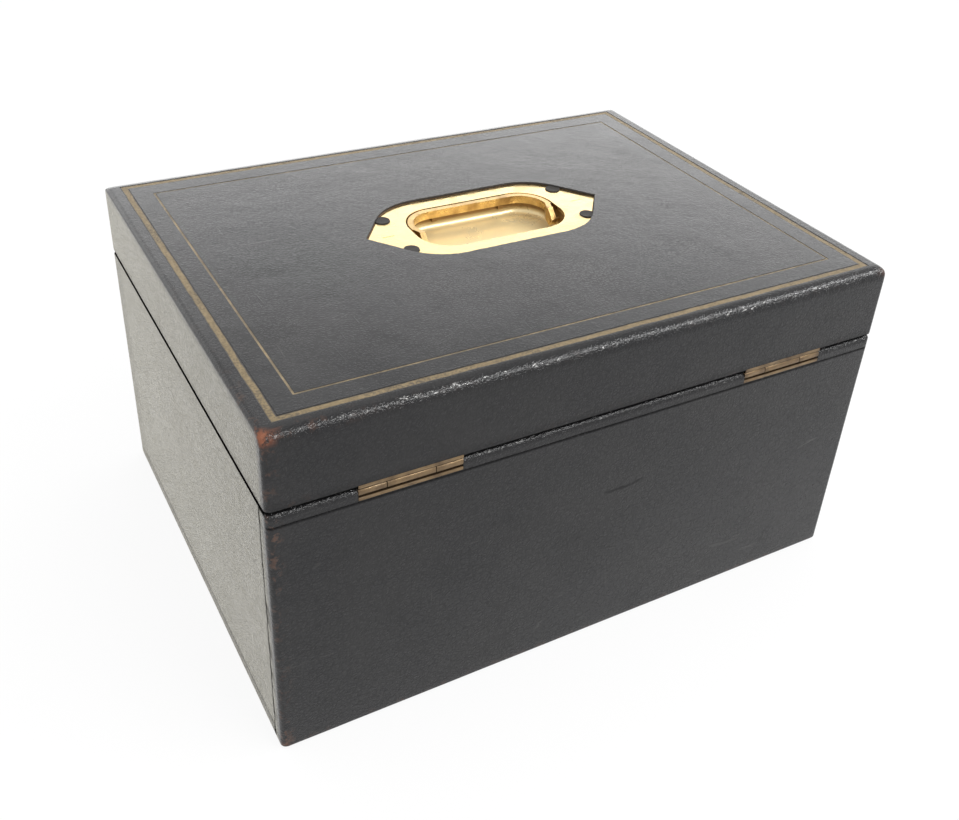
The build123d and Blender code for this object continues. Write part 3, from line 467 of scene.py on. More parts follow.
def leather_polish(f, at, grain, bare):
    """An old polish over the leather: a coat that is thin in the grain's hollows and
    missing in the shaded seams as part of their painted shade, with a warm sheen on the end as a
    painted reflection."""
    creases = f.math(
        "MAXIMUM", back_mark(f, LONG_CREASE, 1.0 * MM),
        f.times(back_mark(f, SHORT_CREASE, 1.0 * MM), 0.6),
    )
    # The polish is taken away in the shaded seams, as part of their painted shade, and where the
    # leather is bare
    polished = f.rest_of(f.math("MAXIMUM", at["shaded_seam"], bare))
    polished = f.math("SUBTRACT", polished, f.times(creases, 0.45), clamp=True)
    coarse = f.band(f.cells(1.0, f.stretched(380.0, 190.0, 400.0)), 0.02, 0.20)
    wall_loss = f.line(at["painted_end_light"], 0.20, f.band(at["rubbed"], 0.0, 1.0, 0.10, 0.03))
    hollows = f.times(f.math("SUBTRACT", 1.0, coarse), wall_loss)
    pores = f.times(
        f.math("SUBTRACT", 1.0, grain), f.band(at["rubbed"], 0.0, 1.0, 0.17, 0.05)
    )
    dull = f.times(f.band(f.noise(31.0, 5.0, 0.65, 0.6), 0.45, 0.75), 0.07)
    loss = f.math("ADD", hollows, f.math("ADD", pores, dull))
    rough = f.band(f.noise(46.0, 4.0, 0.6), 0.3, 0.7, 0.17, 0.27)
    f.set(
        Specular_IOR_Level=f.times(polished, 0.04),
        Roughness=f.band(grain, 0.2, 0.9, 0.55, 0.35),
        Coat_Weight=f.math("SUBTRACT", polished, loss, clamp=True),
        Coat_Roughness=f.math("SUBTRACT", rough, f.times(at["edge_shine"], 0.07)),
        # Painted reflection: a warm sheen on the end only, standing in for the surroundings'
        # reflection at a grazing angle
        Sheen_Weight=f.times(f.times(at["painted_end_light"], f.rest_of(at["shaded_seam"])), 0.68),
    )


def leather_relief(f, at, grain):
    """Broad waves, wrinkles that fade on the rubbed top, and the grain, which the
    polish only half fills."""
    wrinkles = f.streaks(520.0, 520.0, 900.0, 4.0, 0.6, 0.8)
    waves = f.bump(f.noise(60.0, 3.0), 0.6 * MM, 0.22)
    ripples = f.bump(wrinkles, 0.16 * MM, f.line(at["rubbed"], -0.55, 0.75), waves)
    in_polish = f.line(at["painted_end_light"], 0.020 * MM, 0.046 * MM)
    in_polish = f.line(at["edge_shine"], 0.040 * MM, in_polish)
    in_polish = f.line(at["rubbed"], -0.030 * MM, in_polish)
    f.set(
        Normal=f.bump(grain, 0.06 * MM, 0.8, ripples),
        Coat_Normal=f.bump(grain, in_polish, 1.0, ripples),
    )


def black_leather():
    """Pebbled black leather under an old polish: wrinkled on the walls, smoother on top,
    sparkling along the rubbed edges with painted highlight flecks, bare at the worn corner,
    painted black as shade in its seams, and given a warm sheen on its end as a painted
    reflection."""
    f = Finish(
        "black_leather", IOR=1.45, Coat_IOR=1.43, Sheen_Roughness=0.32,
        Sheen_Tint=(1.0, 0.95, 0.78, 1.0),
    )
    at = {name: f.attribute(name) for name in WEAR_NAMES}
    bare = f.times(at["corner_wear"], f.band(f.noise(420.0, 4.0, 0.7), 0.36, 0.5), clamp=True)
    grain = leather_grain(f)
    f.set(Base_Color=leather_colour(f, at, bare))
    leather_polish(f, at, grain, bare)
    leather_relief(f, at, grain)
    return f.material


def raw_leather():
    """The cut edge of the leather and the dirt packed beside it: matt, fibrous, dark."""
    f = Finish("raw_leather_edge", Roughness=0.8)
    fibres = f.noise(1400.0, 4.0, 0.7)
    f.set(
        Base_Color=f.mix(fibres, (0.012, 0.0105, 0.0095, 1), (0.050, 0.044, 0.040, 1)),
        Normal=f.bump(fibres, 0.3 * MM, 0.9),
    )
    return f.material


def brass(name, bright, dull, tarnish, rough, scratch):
    """Brass with cloudy tarnish, brighter bare metal between it and fine scratches."""
    f = Finish(name, Metallic=1.0)
    clouds = f.band(f.noise(130.0, 5.0, 0.6), 0.38, 0.72)
    specks = f.band(f.noise(900.0, 3.0, 0.6), 0.58, 0.74)
    spots = f.math("MAXIMUM", f.times(clouds, tarnish), f.times(specks, tarnish))
    lines = f.streaks(0.12, 1.0, 1.0, 2.0, scale=1500.0)
    swirl = f.streaks(1.0, 0.1, 1.0, 2.0, scale=2200.0)
    cloudy_rough = f.band(clouds, 0.0, 1.0, rough, rough + 0.16)
    waves = f.bump(f.noise(160.0, 3.0), 0.12 * MM, 0.35)
    f.set(
        Base_Color=f.mix(spots, bright, dull),
        Roughness=f.math("ADD", cloudy_rough, f.times(lines, 0.06)),
        Normal=f.bump(swirl, 0.012 * MM, scratch, f.bump(lines, 0.02 * MM, scratch, waves)),
    )
    return f.material


def pan_brass():
    """The pan's brass: a clean hazy floor, painted darker brown up its walls as shade and the
    walls' darker reflection.
    """
    f = Finish("pan_brass", Metallic=0.45)
    # Painted shade and reflection: the walls above the pan's floor are dark brown
    wall_shade = f.band(f.axis("Z"), *PAN_WALL_SHADE)
    clouds = f.noise(90.0, 4.0, 0.6, 0.5)
    floor = f.mix(clouds, (1.0, 0.86, 0.53, 1), (0.95, 0.76, 0.40, 1))
    wall = f.mix(clouds, (0.30, 0.17, 0.055, 1), (0.13, 0.065, 0.020, 1))
    f.set(
        Base_Color=f.mix(wall_shade, floor, wall),
        Roughness=f.band(clouds, 0.3, 0.8, 0.26, 0.40),
        Normal=f.bump(f.streaks(0.10, 1.0, 1.0, 2.0, scale=1500.0), 0.016 * MM, 0.5),
    )
    return f.material


def gold_leaf():
    """Old tooled gold: khaki, patchy, with ragged edges and dark tooled borders."""
    f = Finish("gold_leaf")
    lid_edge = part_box("lid_leather_cover")[1]
    from_end = f.math("SUBTRACT", lid_edge.x, f.math("ABSOLUTE", f.axis("X")))
    from_back = f.math("SUBTRACT", lid_edge.y, f.math("ABSOLUTE", f.axis("Y")))
    gap = f.math("MINIMUM", from_end, from_back)
    is_wide = f.math("LESS_THAN", gap, BETWEEN_LINES)
    wander = f.times(f.math("SUBTRACT", f.noise(75.0, 5.0, 0.7), 0.5), 1.6 * MM)
    middle = GILT_LINES[0][0]
    across = f.math("ABSOLUTE", f.math("SUBTRACT", f.math("ADD", gap, wander), middle))
    ragged = f.times(f.band(across, 0.80 * MM, 1.30 * MM), is_wide)
    patches = f.band(f.noise(26.0, 5.0, 0.65), 0.44, 0.66)
    flecks = f.band(f.noise(1100.0, 4.0, 0.7), 0.42, 0.62)
    fine_loss = f.times(
        f.band(f.noise(60.0, 6.0, 0.7), 0.40, 0.56), f.math("SUBTRACT", 1.0, is_wide)
    )
    loss = f.math("MAXIMUM", ragged, f.times(fine_loss, 0.45))
    loss = f.math("MAXIMUM", loss, f.times(flecks, f.line(patches, 0.6, 0.16)))
    leaf = f.mix(is_wide, (0.46, 0.37, 0.23, 1), (0.32, 0.245, 0.135, 1))
    tone = f.mix(f.noise(420.0, 5.0, 0.65), (0.13, 0.095, 0.050, 1), leaf)
    f.set(
        Base_Color=f.mix(loss, tone, (0.016, 0.014, 0.013, 1)),
        Metallic=f.times(f.rest_of(loss), 0.75),
        Roughness=f.band(flecks, 0.0, 1.0, 0.45, 0.6),
        Normal=f.bump(f.noise(1100.0, 4.0, 0.6), 0.12 * MM, 0.8),
    )
    return f.material


def hinge_brass():
    """Brown, unpolished brass, paler in rubbed streaks, with painted black shade in the parting
    between its knuckles.
    """
    f = Finish("aged_brass", Metallic=0.85)
    clouds = f.band(f.noise(150.0, 5.0, 0.65), 0.35, 0.70)
    streaks = f.streaks(140.0, 1600.0, 1600.0, 4.0, 0.7)
    tone = f.mix(clouds, (0.225, 0.155, 0.085, 1), (0.110, 0.075, 0.048, 1))
    tone = f.mix(f.band(streaks, 0.5, 0.75), tone, (0.30, 0.225, 0.145, 1))
    # Painted shade: near-black, with less specular, in the parting between the knuckles
    parting = f.math("ABSOLUTE", f.math("SUBTRACT", f.axis("Z"), HINGE_PARTING))
    outside = f.math("GREATER_THAN", f.axis("Y"), KNUCKLE_FRONT)
    parting_shade = f.times(f.band(parting, *PARTING_WIDTH, 1.0, 0.0), outside)
    waves = f.bump(f.noise(300.0, 4.0, 0.6), 0.12 * MM, 0.5)
    f.set(
        Base_Color=f.mix(parting_shade, tone, (0.010, 0.007, 0.005, 1)),
        Specular_IOR_Level=f.math("SUBTRACT", 0.5, f.times(parting_shade, 0.5)),
        Roughness=f.band(clouds, 0.0, 1.0, 0.30, 0.48),
        Normal=f.bump(streaks, 0.03 * MM, 0.6, waves),
    )
    return f.material


def wood(name, light, dark, across):
    """Plain boards with their grain along one axis."""
    f = Finish(name, Roughness=0.6)
    scale = {"x": (6.0, 70.0, 70.0), "y": (70.0, 6.0, 70.0)}[across]
    lines = f.streaks(*scale, 6.0, 0.6, 0.6, scale=1.4)
    rings = f.math("FRACT", f.times(lines, 7.0))
    pores = f.band(f.streaks(*scale, 3.0, 0.6, scale=14.0), 0.55, 0.7)
    f.set(
        Base_Color=f.mix(f.times(pores, 0.5), f.mix(rings, light, dark), dark),
        Normal=f.bump(rings, 0.1 * MM, 0.3),
    )
    return f.material


def silk(name, colour, shadow):
    """Slubbed silk: fine ribs one way, uneven threads the other, a soft sheen."""
    f = Finish(name, Roughness=0.5, Sheen_Weight=0.35, Sheen_Roughness=0.4)
    ribs = f.streaks(260.0, 4200.0, 4200.0, 2.0)
    slubs = f.band(f.streaks(45.0, 900.0, 900.0, 4.0, 0.6), 0.5, 0.75)
    tone = f.mix(f.times(ribs, 0.6), colour, shadow)
    tone = f.mix(f.times(f.noise(22.0, 3.0), 0.35), tone, shadow)
    f.set(
        Base_Color=f.mix(f.times(slubs, 0.35), tone, colour),
        Normal=f.bump(f.math("ADD", ribs, slubs), 0.06 * MM, 0.6),
    )
    return f.material


def velvet(name, colour, shadow, sheen):
    """Velvet: a deep pile with a sheen at its edges and brushed patches."""
    f = Finish(name, Roughness=0.9, Sheen_Weight=0.8, Sheen_Roughness=0.35, Sheen_Tint=sheen)
    brushed = f.band(f.noise(34.0, 4.0, 0.55, 0.5), 0.25, 0.80)
    pile = f.noise(3200.0, 2.0, 0.6)
    tone = f.mix(f.times(brushed, 0.55), colour, shadow)
    f.set(
        Base_Color=f.mix(f.times(pile, 0.5), tone, shadow),
        Normal=f.bump(pile, 0.12 * MM, 0.5),
    )
    return f.material


def woven(name, colour, shadow):
    """A plain weave."""
    f = Finish(name, Roughness=0.85)
    warp, weft = (
        f.add(
            "ShaderNodeTexWave", {"bands_direction": way}, Vector=f.coordinates,
            Scale=330.0, Distortion=0.4,
        ).outputs["Fac"]
        for way in "XY"
    )
    threads = f.times(warp, weft)
    f.set(
        Base_Color=f.mix(f.times(threads, f.noise(90.0)), shadow, colour),
        Normal=f.bump(threads, 0.15 * MM, 0.6),
    )
    return f.material


def steel():
    """Filed and oiled steel."""
    f = Finish("lock_steel", Metallic=1.0)
    lines = f.streaks(0.08, 1.0, 1.0, 3.0, 0.6, scale=900.0)
    f.set(
        Base_Color=f.mix(f.noise(200.0, 4.0), (0.32, 0.31, 0.29, 1), (0.55, 0.54, 0.52, 1)),
        Roughness=f.band(lines, 0.2, 0.8, 0.25, 0.45),
        Normal=f.bump(lines, 0.03 * MM, 0.6),
    )
    return f.material


LEATHER_BLACK = black_leather()
LEATHER_RAW = raw_leather()
BRASS_BRIGHT = brass(
    "polished_brass", (0.92, 0.73, 0.38, 1), (0.70, 0.49, 0.24, 1), 0.35, 0.16, 0.35
)
BRASS_BAIL = brass("bail_brass", (0.66, 0.46, 0.20, 1), (0.33, 0.19, 0.07, 1), 0.8, 0.24, 0.35)
BRASS_PAN = pan_brass()
BRASS_OLD = hinge_brass()
GOLD = gold_leaf()
WOOD_X = wood("carcass_wood_along_x", (0.42, 0.25, 0.13, 1), (0.26, 0.14, 0.07, 1), "x")
WOOD_Y = wood("carcass_wood_along_y", (0.42, 0.25, 0.13, 1), (0.26, 0.14, 0.07, 1), "y")
SILK = silk("claret_silk", (0.20, 0.020, 0.034, 1), (0.085, 0.008, 0.016, 1))
VELVET = velvet(
    "claret_velvet", (0.13, 0.010, 0.022, 1), (0.055, 0.004, 0.010, 1),
    (0.6724, 0.1878, 0.2159, 1),
)
RIBBON = silk("claret_ribbon", (0.24, 0.030, 0.045, 1), (0.11, 0.012, 0.020, 1))
CLOTH = woven("underside_cloth", (0.035, 0.035, 0.038, 1), (0.010, 0.010, 0.011, 1))
STEEL = steel()


# Leather skins

def start_ring(bm, half, here):
    """A flat ring of edges: a rectangle with rounded corners and evenly divided sides."""
    inset, corner, z = here
    bmesh.ops.create_grid(bm, x_segments=1, y_segments=1, size=1.0)
    bmesh.ops.scale(bm, vec=(half.x - inset, half.y - inset, 1.0), verts=bm.verts)
    bmesh.ops.translate(bm, vec=(0, 0, z), verts=bm.verts)
    bmesh.ops.bevel(
        bm, geom=bm.verts[:], offset=corner, affect="VERTICES", segments=CORNER_SEGMENTS,
        profile=0.5, material=-1, clamp_overlap=True,
    )
    for edge in [e for e in bm.edges if e.calc_length() > 4 * SKIN_STEP]:
        cuts = round(edge.calc_length() / SKIN_STEP) - 1
        bmesh.ops.subdivide_edges(bm, edges=[edge], cuts=cuts)
    bmesh.ops.delete(bm, geom=bm.faces[:], context="FACES_ONLY")
    return bm.edges[:]


def slide_ring(verts, half, here, there):
    """Moves a ring of vertices to another inset, corner radius and height."""
    for vert in verts:
        place = Vector((vert.co.x, vert.co.y))
        centre = Vector((0.0, 0.0))
        outer = Vector((0.0, 0.0))
        for axis in (0, 1):
            reach = half[axis] - here[0] - here[1]
            centre[axis] = max(-reach, min(reach, place[axis]))
            outer[axis] = centre[axis] * (half[axis] - there[0] - there[1]) / reach
        way = (place - centre).normalized()
        place = outer + way * there[1]
        vert.co = (place.x, place.y, there[2])


def loft(bm, half, levels):
    """A skin drawn through a list of rings, each an inset, a corner radius and a height."""
    ring = start_ring(bm, half, levels[0])
    for here, there in zip(levels, levels[1:]):
        made = bmesh.ops.extrude_edge_only(bm, edges=ring)["geom"]
        verts = set(v for v in made if isinstance(v, bmesh.types.BMVert))
        slide_ring(verts, half, here, there)
        ring = [
            e for e in made
            if isinstance(e, bmesh.types.BMEdge) and e.verts[0] in verts and e.verts[1] in verts
        ]
    return ring


def arc(radius, start, end, steps):
    """Points of a quarter round as (across, up) from its corner's outer lines."""
    for index in range(steps + 1):
        angle = math.radians(start + (end - start) * index / steps)
        yield radius * (1 - math.cos(angle)), radius * (1 - math.sin(angle))


def wall_heights(low, high, extra=()):
    """Even heights up a wall, with closer ones where they are asked for."""
    count = round((high - low) / SKIN_STEP)
    even = [low + (high - low) * i / count for i in range(count + 1)]
    kept = [z for z in even if all(abs(z - e) > 0.5 * MM for e in extra)]
    return sorted(kept + list(extra))


def smooth_step(value, low, high):
    """0 below low, 1 above high, smooth between."""
    t = max(0.0, min(1.0, (value - low) / (high - low)))
    return t * t * (3 - 2 * t)


def uneven_skin(bm, amount):
    """Draws a skin inwards by small, soft amounts, as glued leather lies on wood."""
    bm.normal_update()
    moves = []
    for vert in bm.verts:
        broad = noise.noise(vert.co * 32.0) * 0.65 + noise.noise(vert.co * 95.0) * 0.35
        moves.append((vert, vert.normal * (-(0.5 + 0.5 * broad) * amount)))
    for vert, move in moves:
        vert.co += move


def paint(piece, name, value_at):
    """Stores a value at each vertex, worked out from its place."""
    mesh = piece.data
    layer = mesh.attributes.new(name, "FLOAT", "POINT")
    layer.data.foreach_set("value", [value_at(v.co) for v in mesh.vertices])


def paint_all(piece, *wear_values):
    """Stores the leather's wear, in the order of its names."""
    for name, value_at in zip(WEAR_NAMES, wear_values, strict=True):
        paint(piece, name, value_at)


def edge_closeness(co, low, high, reach):
    """1 on a box's edges, falling to 0 at reach from them."""
    gaps = sorted((
        min(co.x - low.x, high.x - co.x), min(co.y - low.y, high.y - co.y),
        min(co.z - low.z, high.z - co.z),
    ))
    return 1.0 - smooth_step(math.hypot(max(gaps[0], 0.0), max(gaps[1], 0.0)), 0.0, reach)


def rim_closeness(co, high):
    """1 on the outer edge of a rim, falling to 0 just inside it."""
    outer = min(high.x - abs(co.x), high.y - abs(co.y))
    return 1.0 - smooth_step(outer, 1.0 * MM, 2.2 * MM)


def open_skin_object(bm, name):
    """Turns a one-sided skin into leather with a thickness, towards the wood."""
    bmesh.ops.recalc_face_normals(bm, faces=bm.faces[:])
    on_end = max(bm.faces, key=lambda f: abs(f.normal.x) * f.calc_center_median().x)
    if on_end.normal.x < 0:
        bmesh.ops.reverse_faces(bm, faces=bm.faces[:])
    piece = as_object(bm, name)
    set_materials(piece, LEATHER_BLACK, LEATHER_RAW)
    wall = piece.modifiers.new("thickness", "SOLIDIFY")
    wall.thickness = LEATHER
    wall.offset = -1.0
    wall.material_offset_rim = 1
    apply_modifiers(piece)
    return piece


def plate_cutter(grow, low_z, high_z):
    """The handle plate's outline as a solid, grown all round: a slot with round ends,
    and a gable on each side of it."""
    low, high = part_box("handle_plate")
    middle = Vector(((low.x + high.x) / 2, (low.y + high.y) / 2, 0))
    half_width = (high.y - low.y) / 2 + grow
    size = Vector((PLATE_STRAIGHT / 2 + half_width, half_width, 0))
    bottom, top = Vector((0, 0, low_z)), Vector((0, 0, high_z))
    cutter = prism(
        "plate_cutter", middle - size + bottom, middle + size + top,
        bevel=half_width * 0.9995, segments=28,
    )
    run = GABLE_FOOT - PLATE_STRAIGHT / 2
    foot_y = math.sqrt(((high.y - low.y) / 2) ** 2 - run ** 2) + grow
    foot = Vector((GABLE_FOOT + grow, foot_y, 0))
    gables = prism("gables", middle - foot + bottom, middle + foot + top)
    bm = bmesh.new()
    bm.from_mesh(gables.data)
    divide(bm, 1, middle.y)
    tip = (high.x - low.x) / 2 + grow
    for vert in bm.verts:
        if abs(vert.co.y - middle.y) < MERGE:
            vert.co.x = middle.x + math.copysign(tip, vert.co.x - middle.x)
    bm.to_mesh(gables.data)
    bm.free()
    combine(cutter, gables, "UNION")
    return cutter


def fill_notches(bm, plate_low, plate_high):
    """Dirt and powdered leather packed into the four notches of the plate's edge."""
    middle = (plate_low + plate_high) / 2
    top = plate_high.z + NOTCH_FILL_UP
    radius = NOTCH_RADIUS - 0.1 * MM
    for x in (-NOTCH_X, NOTCH_X):
        for y in (-NOTCH_Y, NOTCH_Y):
            place = Vector((middle.x + x, middle.y + y, 0))
            centre = place + Vector((0, 0, top - NOTCH_FILL_DEPTH / 2))
            made = bmesh.ops.create_cone(
                bm, cap_ends=True, cap_tris=False, segments=24, radius1=radius,
                radius2=radius, depth=NOTCH_FILL_DEPTH, matrix=Matrix.Translation(centre),
            )["verts"]
            faces = {f for v in made for f in v.link_faces}
            cap = [f for f in faces if f.calc_center_median().z > top - 0.1 * MM]
            faces.update(bmesh.ops.inset_region(bm, faces=cap, thickness=0.8 * MM)["faces"])
            faces.update(bmesh.ops.inset_region(bm, faces=cap, thickness=1.1 * MM)["faces"])
            faces.update(f for v in made for f in v.link_faces)
            for face in faces:
                face.material_index = 1
            for vert in {v for f in faces for v in f.verts}:
                if vert.co.z > top - 0.1 * MM:
                    away = (Vector((vert.co.x, vert.co.y, 0)) - place).length / radius
                    hollow = 0.2 * away ** 2 - 0.2 + 0.1 * noise.noise(vert.co * 900.0)
                    vert.co.z += hollow * MM


def fray_cut(bm, plate_low, plate_high):
    """Makes the leather's cut edge round the handle plate slightly ragged."""
    middle = (plate_low + plate_high) / 2
    above = plate_high.z + 0.4 * MM
    edges = [
        e for e in bm.edges
        if len(e.link_faces) == 2 and {f.material_index for f in e.link_faces} == {0, 1}
        and min(v.co.z for v in e.verts) > above
    ]
    for edge in [e for e in edges if e.calc_length() > 1.5 * MM]:
        cuts = round(edge.calc_length() / (0.9 * MM))
        bmesh.ops.subdivide_edges(bm, edges=[edge], cuts=cuts)
    for vert in {v for e in bm.edges for v in e.verts if v.co.z > above}:
        way = Vector((vert.co.x - middle.x, vert.co.y - middle.y, 0))
        cut = any(f.material_index == 1 for f in vert.link_faces)
        if cut and abs(way.x) <= 60 * MM and abs(way.y) <= 30 * MM:
            vert.co += way.normalized() * (0.12 + 0.34 * noise.noise(vert.co * 700.0)) * MM


def cut_for_hinges(piece, part):
    """Takes the two hinge leaves out of the leather's back edge."""
    spare = Vector((0.1, 0.1, 0.1)) * MM
    behind = Vector((0, 3, 0)) * MM
    for side in ("left", "right"):
        low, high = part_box("hinge_" + side + "_" + part + "_leaf")
        combine(piece, prism("hinge_cutter", low - spare, high + spare + behind), "DIFFERENCE")


def top_faces(bm, z):
    """The faces of the flat top."""
    bm.normal_update()
    return [
        f for f in bm.faces
        if abs(f.normal.z) > 0.9 and abs(f.calc_center_median().z - z) < 0.2 * MM
    ]


def divide_top(bm, z, xs, ys):
    """Cuts the flat top along lines across it."""
    for axis, places in enumerate((xs, ys)):
        for place in places:
            divide(bm, axis, place, faces=top_faces(bm, z), reach=0.02 * MM)


def sink_gilt_grooves(bm, half, z):
    """Presses the gilt lines' grooves into the flat top."""
    for inset, width in GILT_LINES:
        pressed = []
        for face in top_faces(bm, z):
            middle = face.calc_center_median()
            gap = min(half.x - abs(middle.x), half.y - abs(middle.y))
            if abs(gap - inset) < width / 2:
                pressed.append(face)
        bmesh.ops.inset_region(
            bm, faces=pressed, thickness=0.1 * MM, depth=-GILT_GROOVE, use_even_offset=True,
            use_boundary=True,
        )


def dent_top(bm, z):
    """Small dents and swellings in the lid's top, from use."""
    for vert in bm.verts:
        if vert.co.z < z - 1 * MM:
            continue
        for (x, y), radius, depth in DENTS:
            away = math.hypot(vert.co.x - x * MM, vert.co.y - y * MM)
            vert.co.z -= depth * MM * (1.0 - smooth_step(away, 0.0, radius * MM))


def tighten_ends(bm, half, top):
    """Gives the lid's top a smaller rounding along its ends than along its back and front."""
    share = 1.0 - LID_END_ROUND / LID_TOP_ROUND
    for vert in bm.verts:
        down = top - vert.co.z
        if down > LID_TOP_ROUND - 0.01 * MM:
            continue
        rise = 1.0 - down / LID_TOP_ROUND
        across = LID_TOP_ROUND * (1.0 - math.sqrt(max(0.0, 1.0 - rise * rise)))
        beyond = abs(vert.co.x) - (half.x - across - UPRIGHT_ROUND)
        if beyond < -0.01 * MM:
            continue
        turn = min(1.0, max(0.0, beyond / UPRIGHT_ROUND)) ** 2
        vert.co.x += math.copysign(across * share, vert.co.x)
        vert.co.z = top - down * (1.0 - share * turn)


def lid_levels(low, high, rim):
    """The rings of the lid's skin, from inside its rim to the edge of its flat top."""
    levels = [(inset, UPRIGHT_ROUND, low.z) for inset in (rim, 6 * MM, 3.5 * MM, 1.8 * MM)]
    for across, up in arc(LID_FOOT_ROUND, 90, 0, 4):
        levels.append((across, UPRIGHT_ROUND, low.z + up))
    for z in wall_heights(low.z + LID_FOOT_ROUND, high.z - LID_TOP_ROUND)[1:-1]:
        levels.append((0.0, UPRIGHT_ROUND, z))
    for across, up in arc(LID_TOP_ROUND, 0, 90, 9):
        levels.append((across, UPRIGHT_ROUND, high.z - up))
    return levels


def close_top(bm, half, z, last):
    """Fills the lid's flat top, divided in step with its walls and along the gilt lines."""
    columns = sorted({round(v.co.x, 6) for e in last for v in e.verts})
    rows = sorted({round(v.co.y, 6) for e in last for v in e.verts})
    bmesh.ops.contextual_create(bm, geom=last)
    corner = LID_TOP_ROUND + UPRIGHT_ROUND
    xs = [x for x in columns if abs(x) < half.x - corner]
    ys = [y for y in rows if abs(y) < half.y - corner]
    for inset, width in GILT_LINES:
        for edge in (inset - width / 2, inset + width / 2):
            xs += [half.x - edge, edge - half.x]
            ys += [half.y - edge, edge - half.y]
    divide_top(bm, z, xs, ys)


def make_lid_leather():
    """The lid's leather: its top, sides and turned rim, cut out round the handle."""
    low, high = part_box("lid_leather_cover")
    half = Vector((high.x, high.y))
    rim = half.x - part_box("lid_right_board")[0].x
    bm = bmesh.new()
    last = loft(bm, half, lid_levels(low, high, rim))
    tighten_ends(bm, half, high.z)
    close_top(bm, half, high.z, last)
    uneven_skin(bm, UNEVENNESS)
    piece = open_skin_object(bm, "lid_leather")

    plate_low, plate_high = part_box("handle_plate")
    combine(piece, plate_cutter(PLATE_CUT, plate_low.z, high.z + 2 * MM), "DIFFERENCE")
    cut_for_hinges(piece, "lid")
    link_low, link_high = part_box("link_plate")
    link_low.z = low.z - 1 * MM
    link_high.z = low.z + 1.7 * MM
    combine(piece, prism("link_cutter", link_low, link_high, SLOT_ROUND, 8), "DIFFERENCE")

    bm = bmesh.new()
    bm.from_mesh(piece.data)
    sink_gilt_grooves(bm, half, high.z)
    fray_cut(bm, plate_low, plate_high)
    dent_top(bm, high.z)
    fill_notches(bm, plate_low, plate_high)
    bm.to_mesh(piece.data)
    bm.free()
    keep_inside(piece, low, high)
    paint_lid_wear(piece, low, high)
    shade(piece, LEATHER_SHARP)
    ride_for(piece, "lid_leather_cover", "lid")


def keep_inside(piece, low, high):
    """Holds a piece's corners within its space."""
    for vert in piece.data.vertices:
        for axis in range(3):
            vert.co[axis] = max(low[axis], min(high[axis], vert.co[axis]))


def nearness(co, place, full, reach):
    """1 within a distance of a place, falling to 0 at a further one."""
    return 1.0 - smooth_step((co - place).length, full, reach)


def by_upright(co, high):
    """1 at the upright edge nearest the photograph's camera, fading beside it."""
    away = math.hypot(co.x - high.x, co.y - high.y)
    return 1.0 - smooth_step(away, 1.5 * MM, 6 * MM)


# Marks the end that is lightened as a painted reflection of the white surroundings
def end_face(co, high):
    """1 on the end in the photograph, up to the lapped back leather."""
    on_end = smooth_step(co.x, high.x - 0.75 * MM, high.x - 0.6 * MM)
    return on_end * smooth_step(high.y - co.y, 2.0 * MM, 3.4 * MM)


def paint_lid_wear(piece, low, high):
    """Where the lid's leather is brown, bare, smooth, shiny, painted black as shade, lightened
    as a painted reflection and flecked as a painted highlight.
    """
    far_corner = Vector((low.x, high.y, high.z))

    def wear(co):
        close = edge_closeness(co, low, high, 5 * MM)
        corner = nearness(co, high, 8 * MM, 42 * MM)
        return max(close * (0.12 + 0.88 * corner), 0.45 * by_upright(co, high))

    def corner_wear(co):
        corner = nearness(co, high, 2.6 * MM, 5.6 * MM)
        return max(corner, 0.25 * nearness(co, far_corner, 1.5 * MM, 4.5 * MM))

    def rubbed(co):
        return smooth_step(co.z, high.z - 3.0 * MM, high.z - 1.0 * MM)

    def edge_shine(co):
        back = smooth_step(co.y, high.y - 5.5 * MM, high.y - 3.5 * MM)
        return back * smooth_step(co.z, high.z - 5.5 * MM, high.z - 3.5 * MM)

    # Painted shade: the lid's lower outer edge, dark as the gap over the base
    def shaded_seam(co):
        return rim_closeness(co, high) * (
            1.0 - smooth_step(co.z, low.z + 0.5 * MM, low.z + 1.2 * MM)
        )

    # Painted reflection: where the lid's end is lightened and given a sheen
    def painted_end_light(co):
        upper = smooth_step(co.z, high.z - 2.2 * MM, high.z - 1.0 * MM)
        return (1.0 - upper) * end_face(co, high)

    # Painted highlight: the band of the back's top rounding that gets white flecks
    def highlight_flecks(co):
        back = smooth_step(co.y, high.y - 4.4 * MM, high.y - 2.6 * MM)
        line = smooth_step(co.z, high.z - 2.4 * MM, high.z - 1.7 * MM)
        return back * line * (1.0 - smooth_step(co.z, high.z - 1.3 * MM, high.z - 0.7 * MM))

    paint_all(piece, wear, corner_wear, rubbed, edge_shine, shaded_seam, painted_end_light, highlight_flecks)


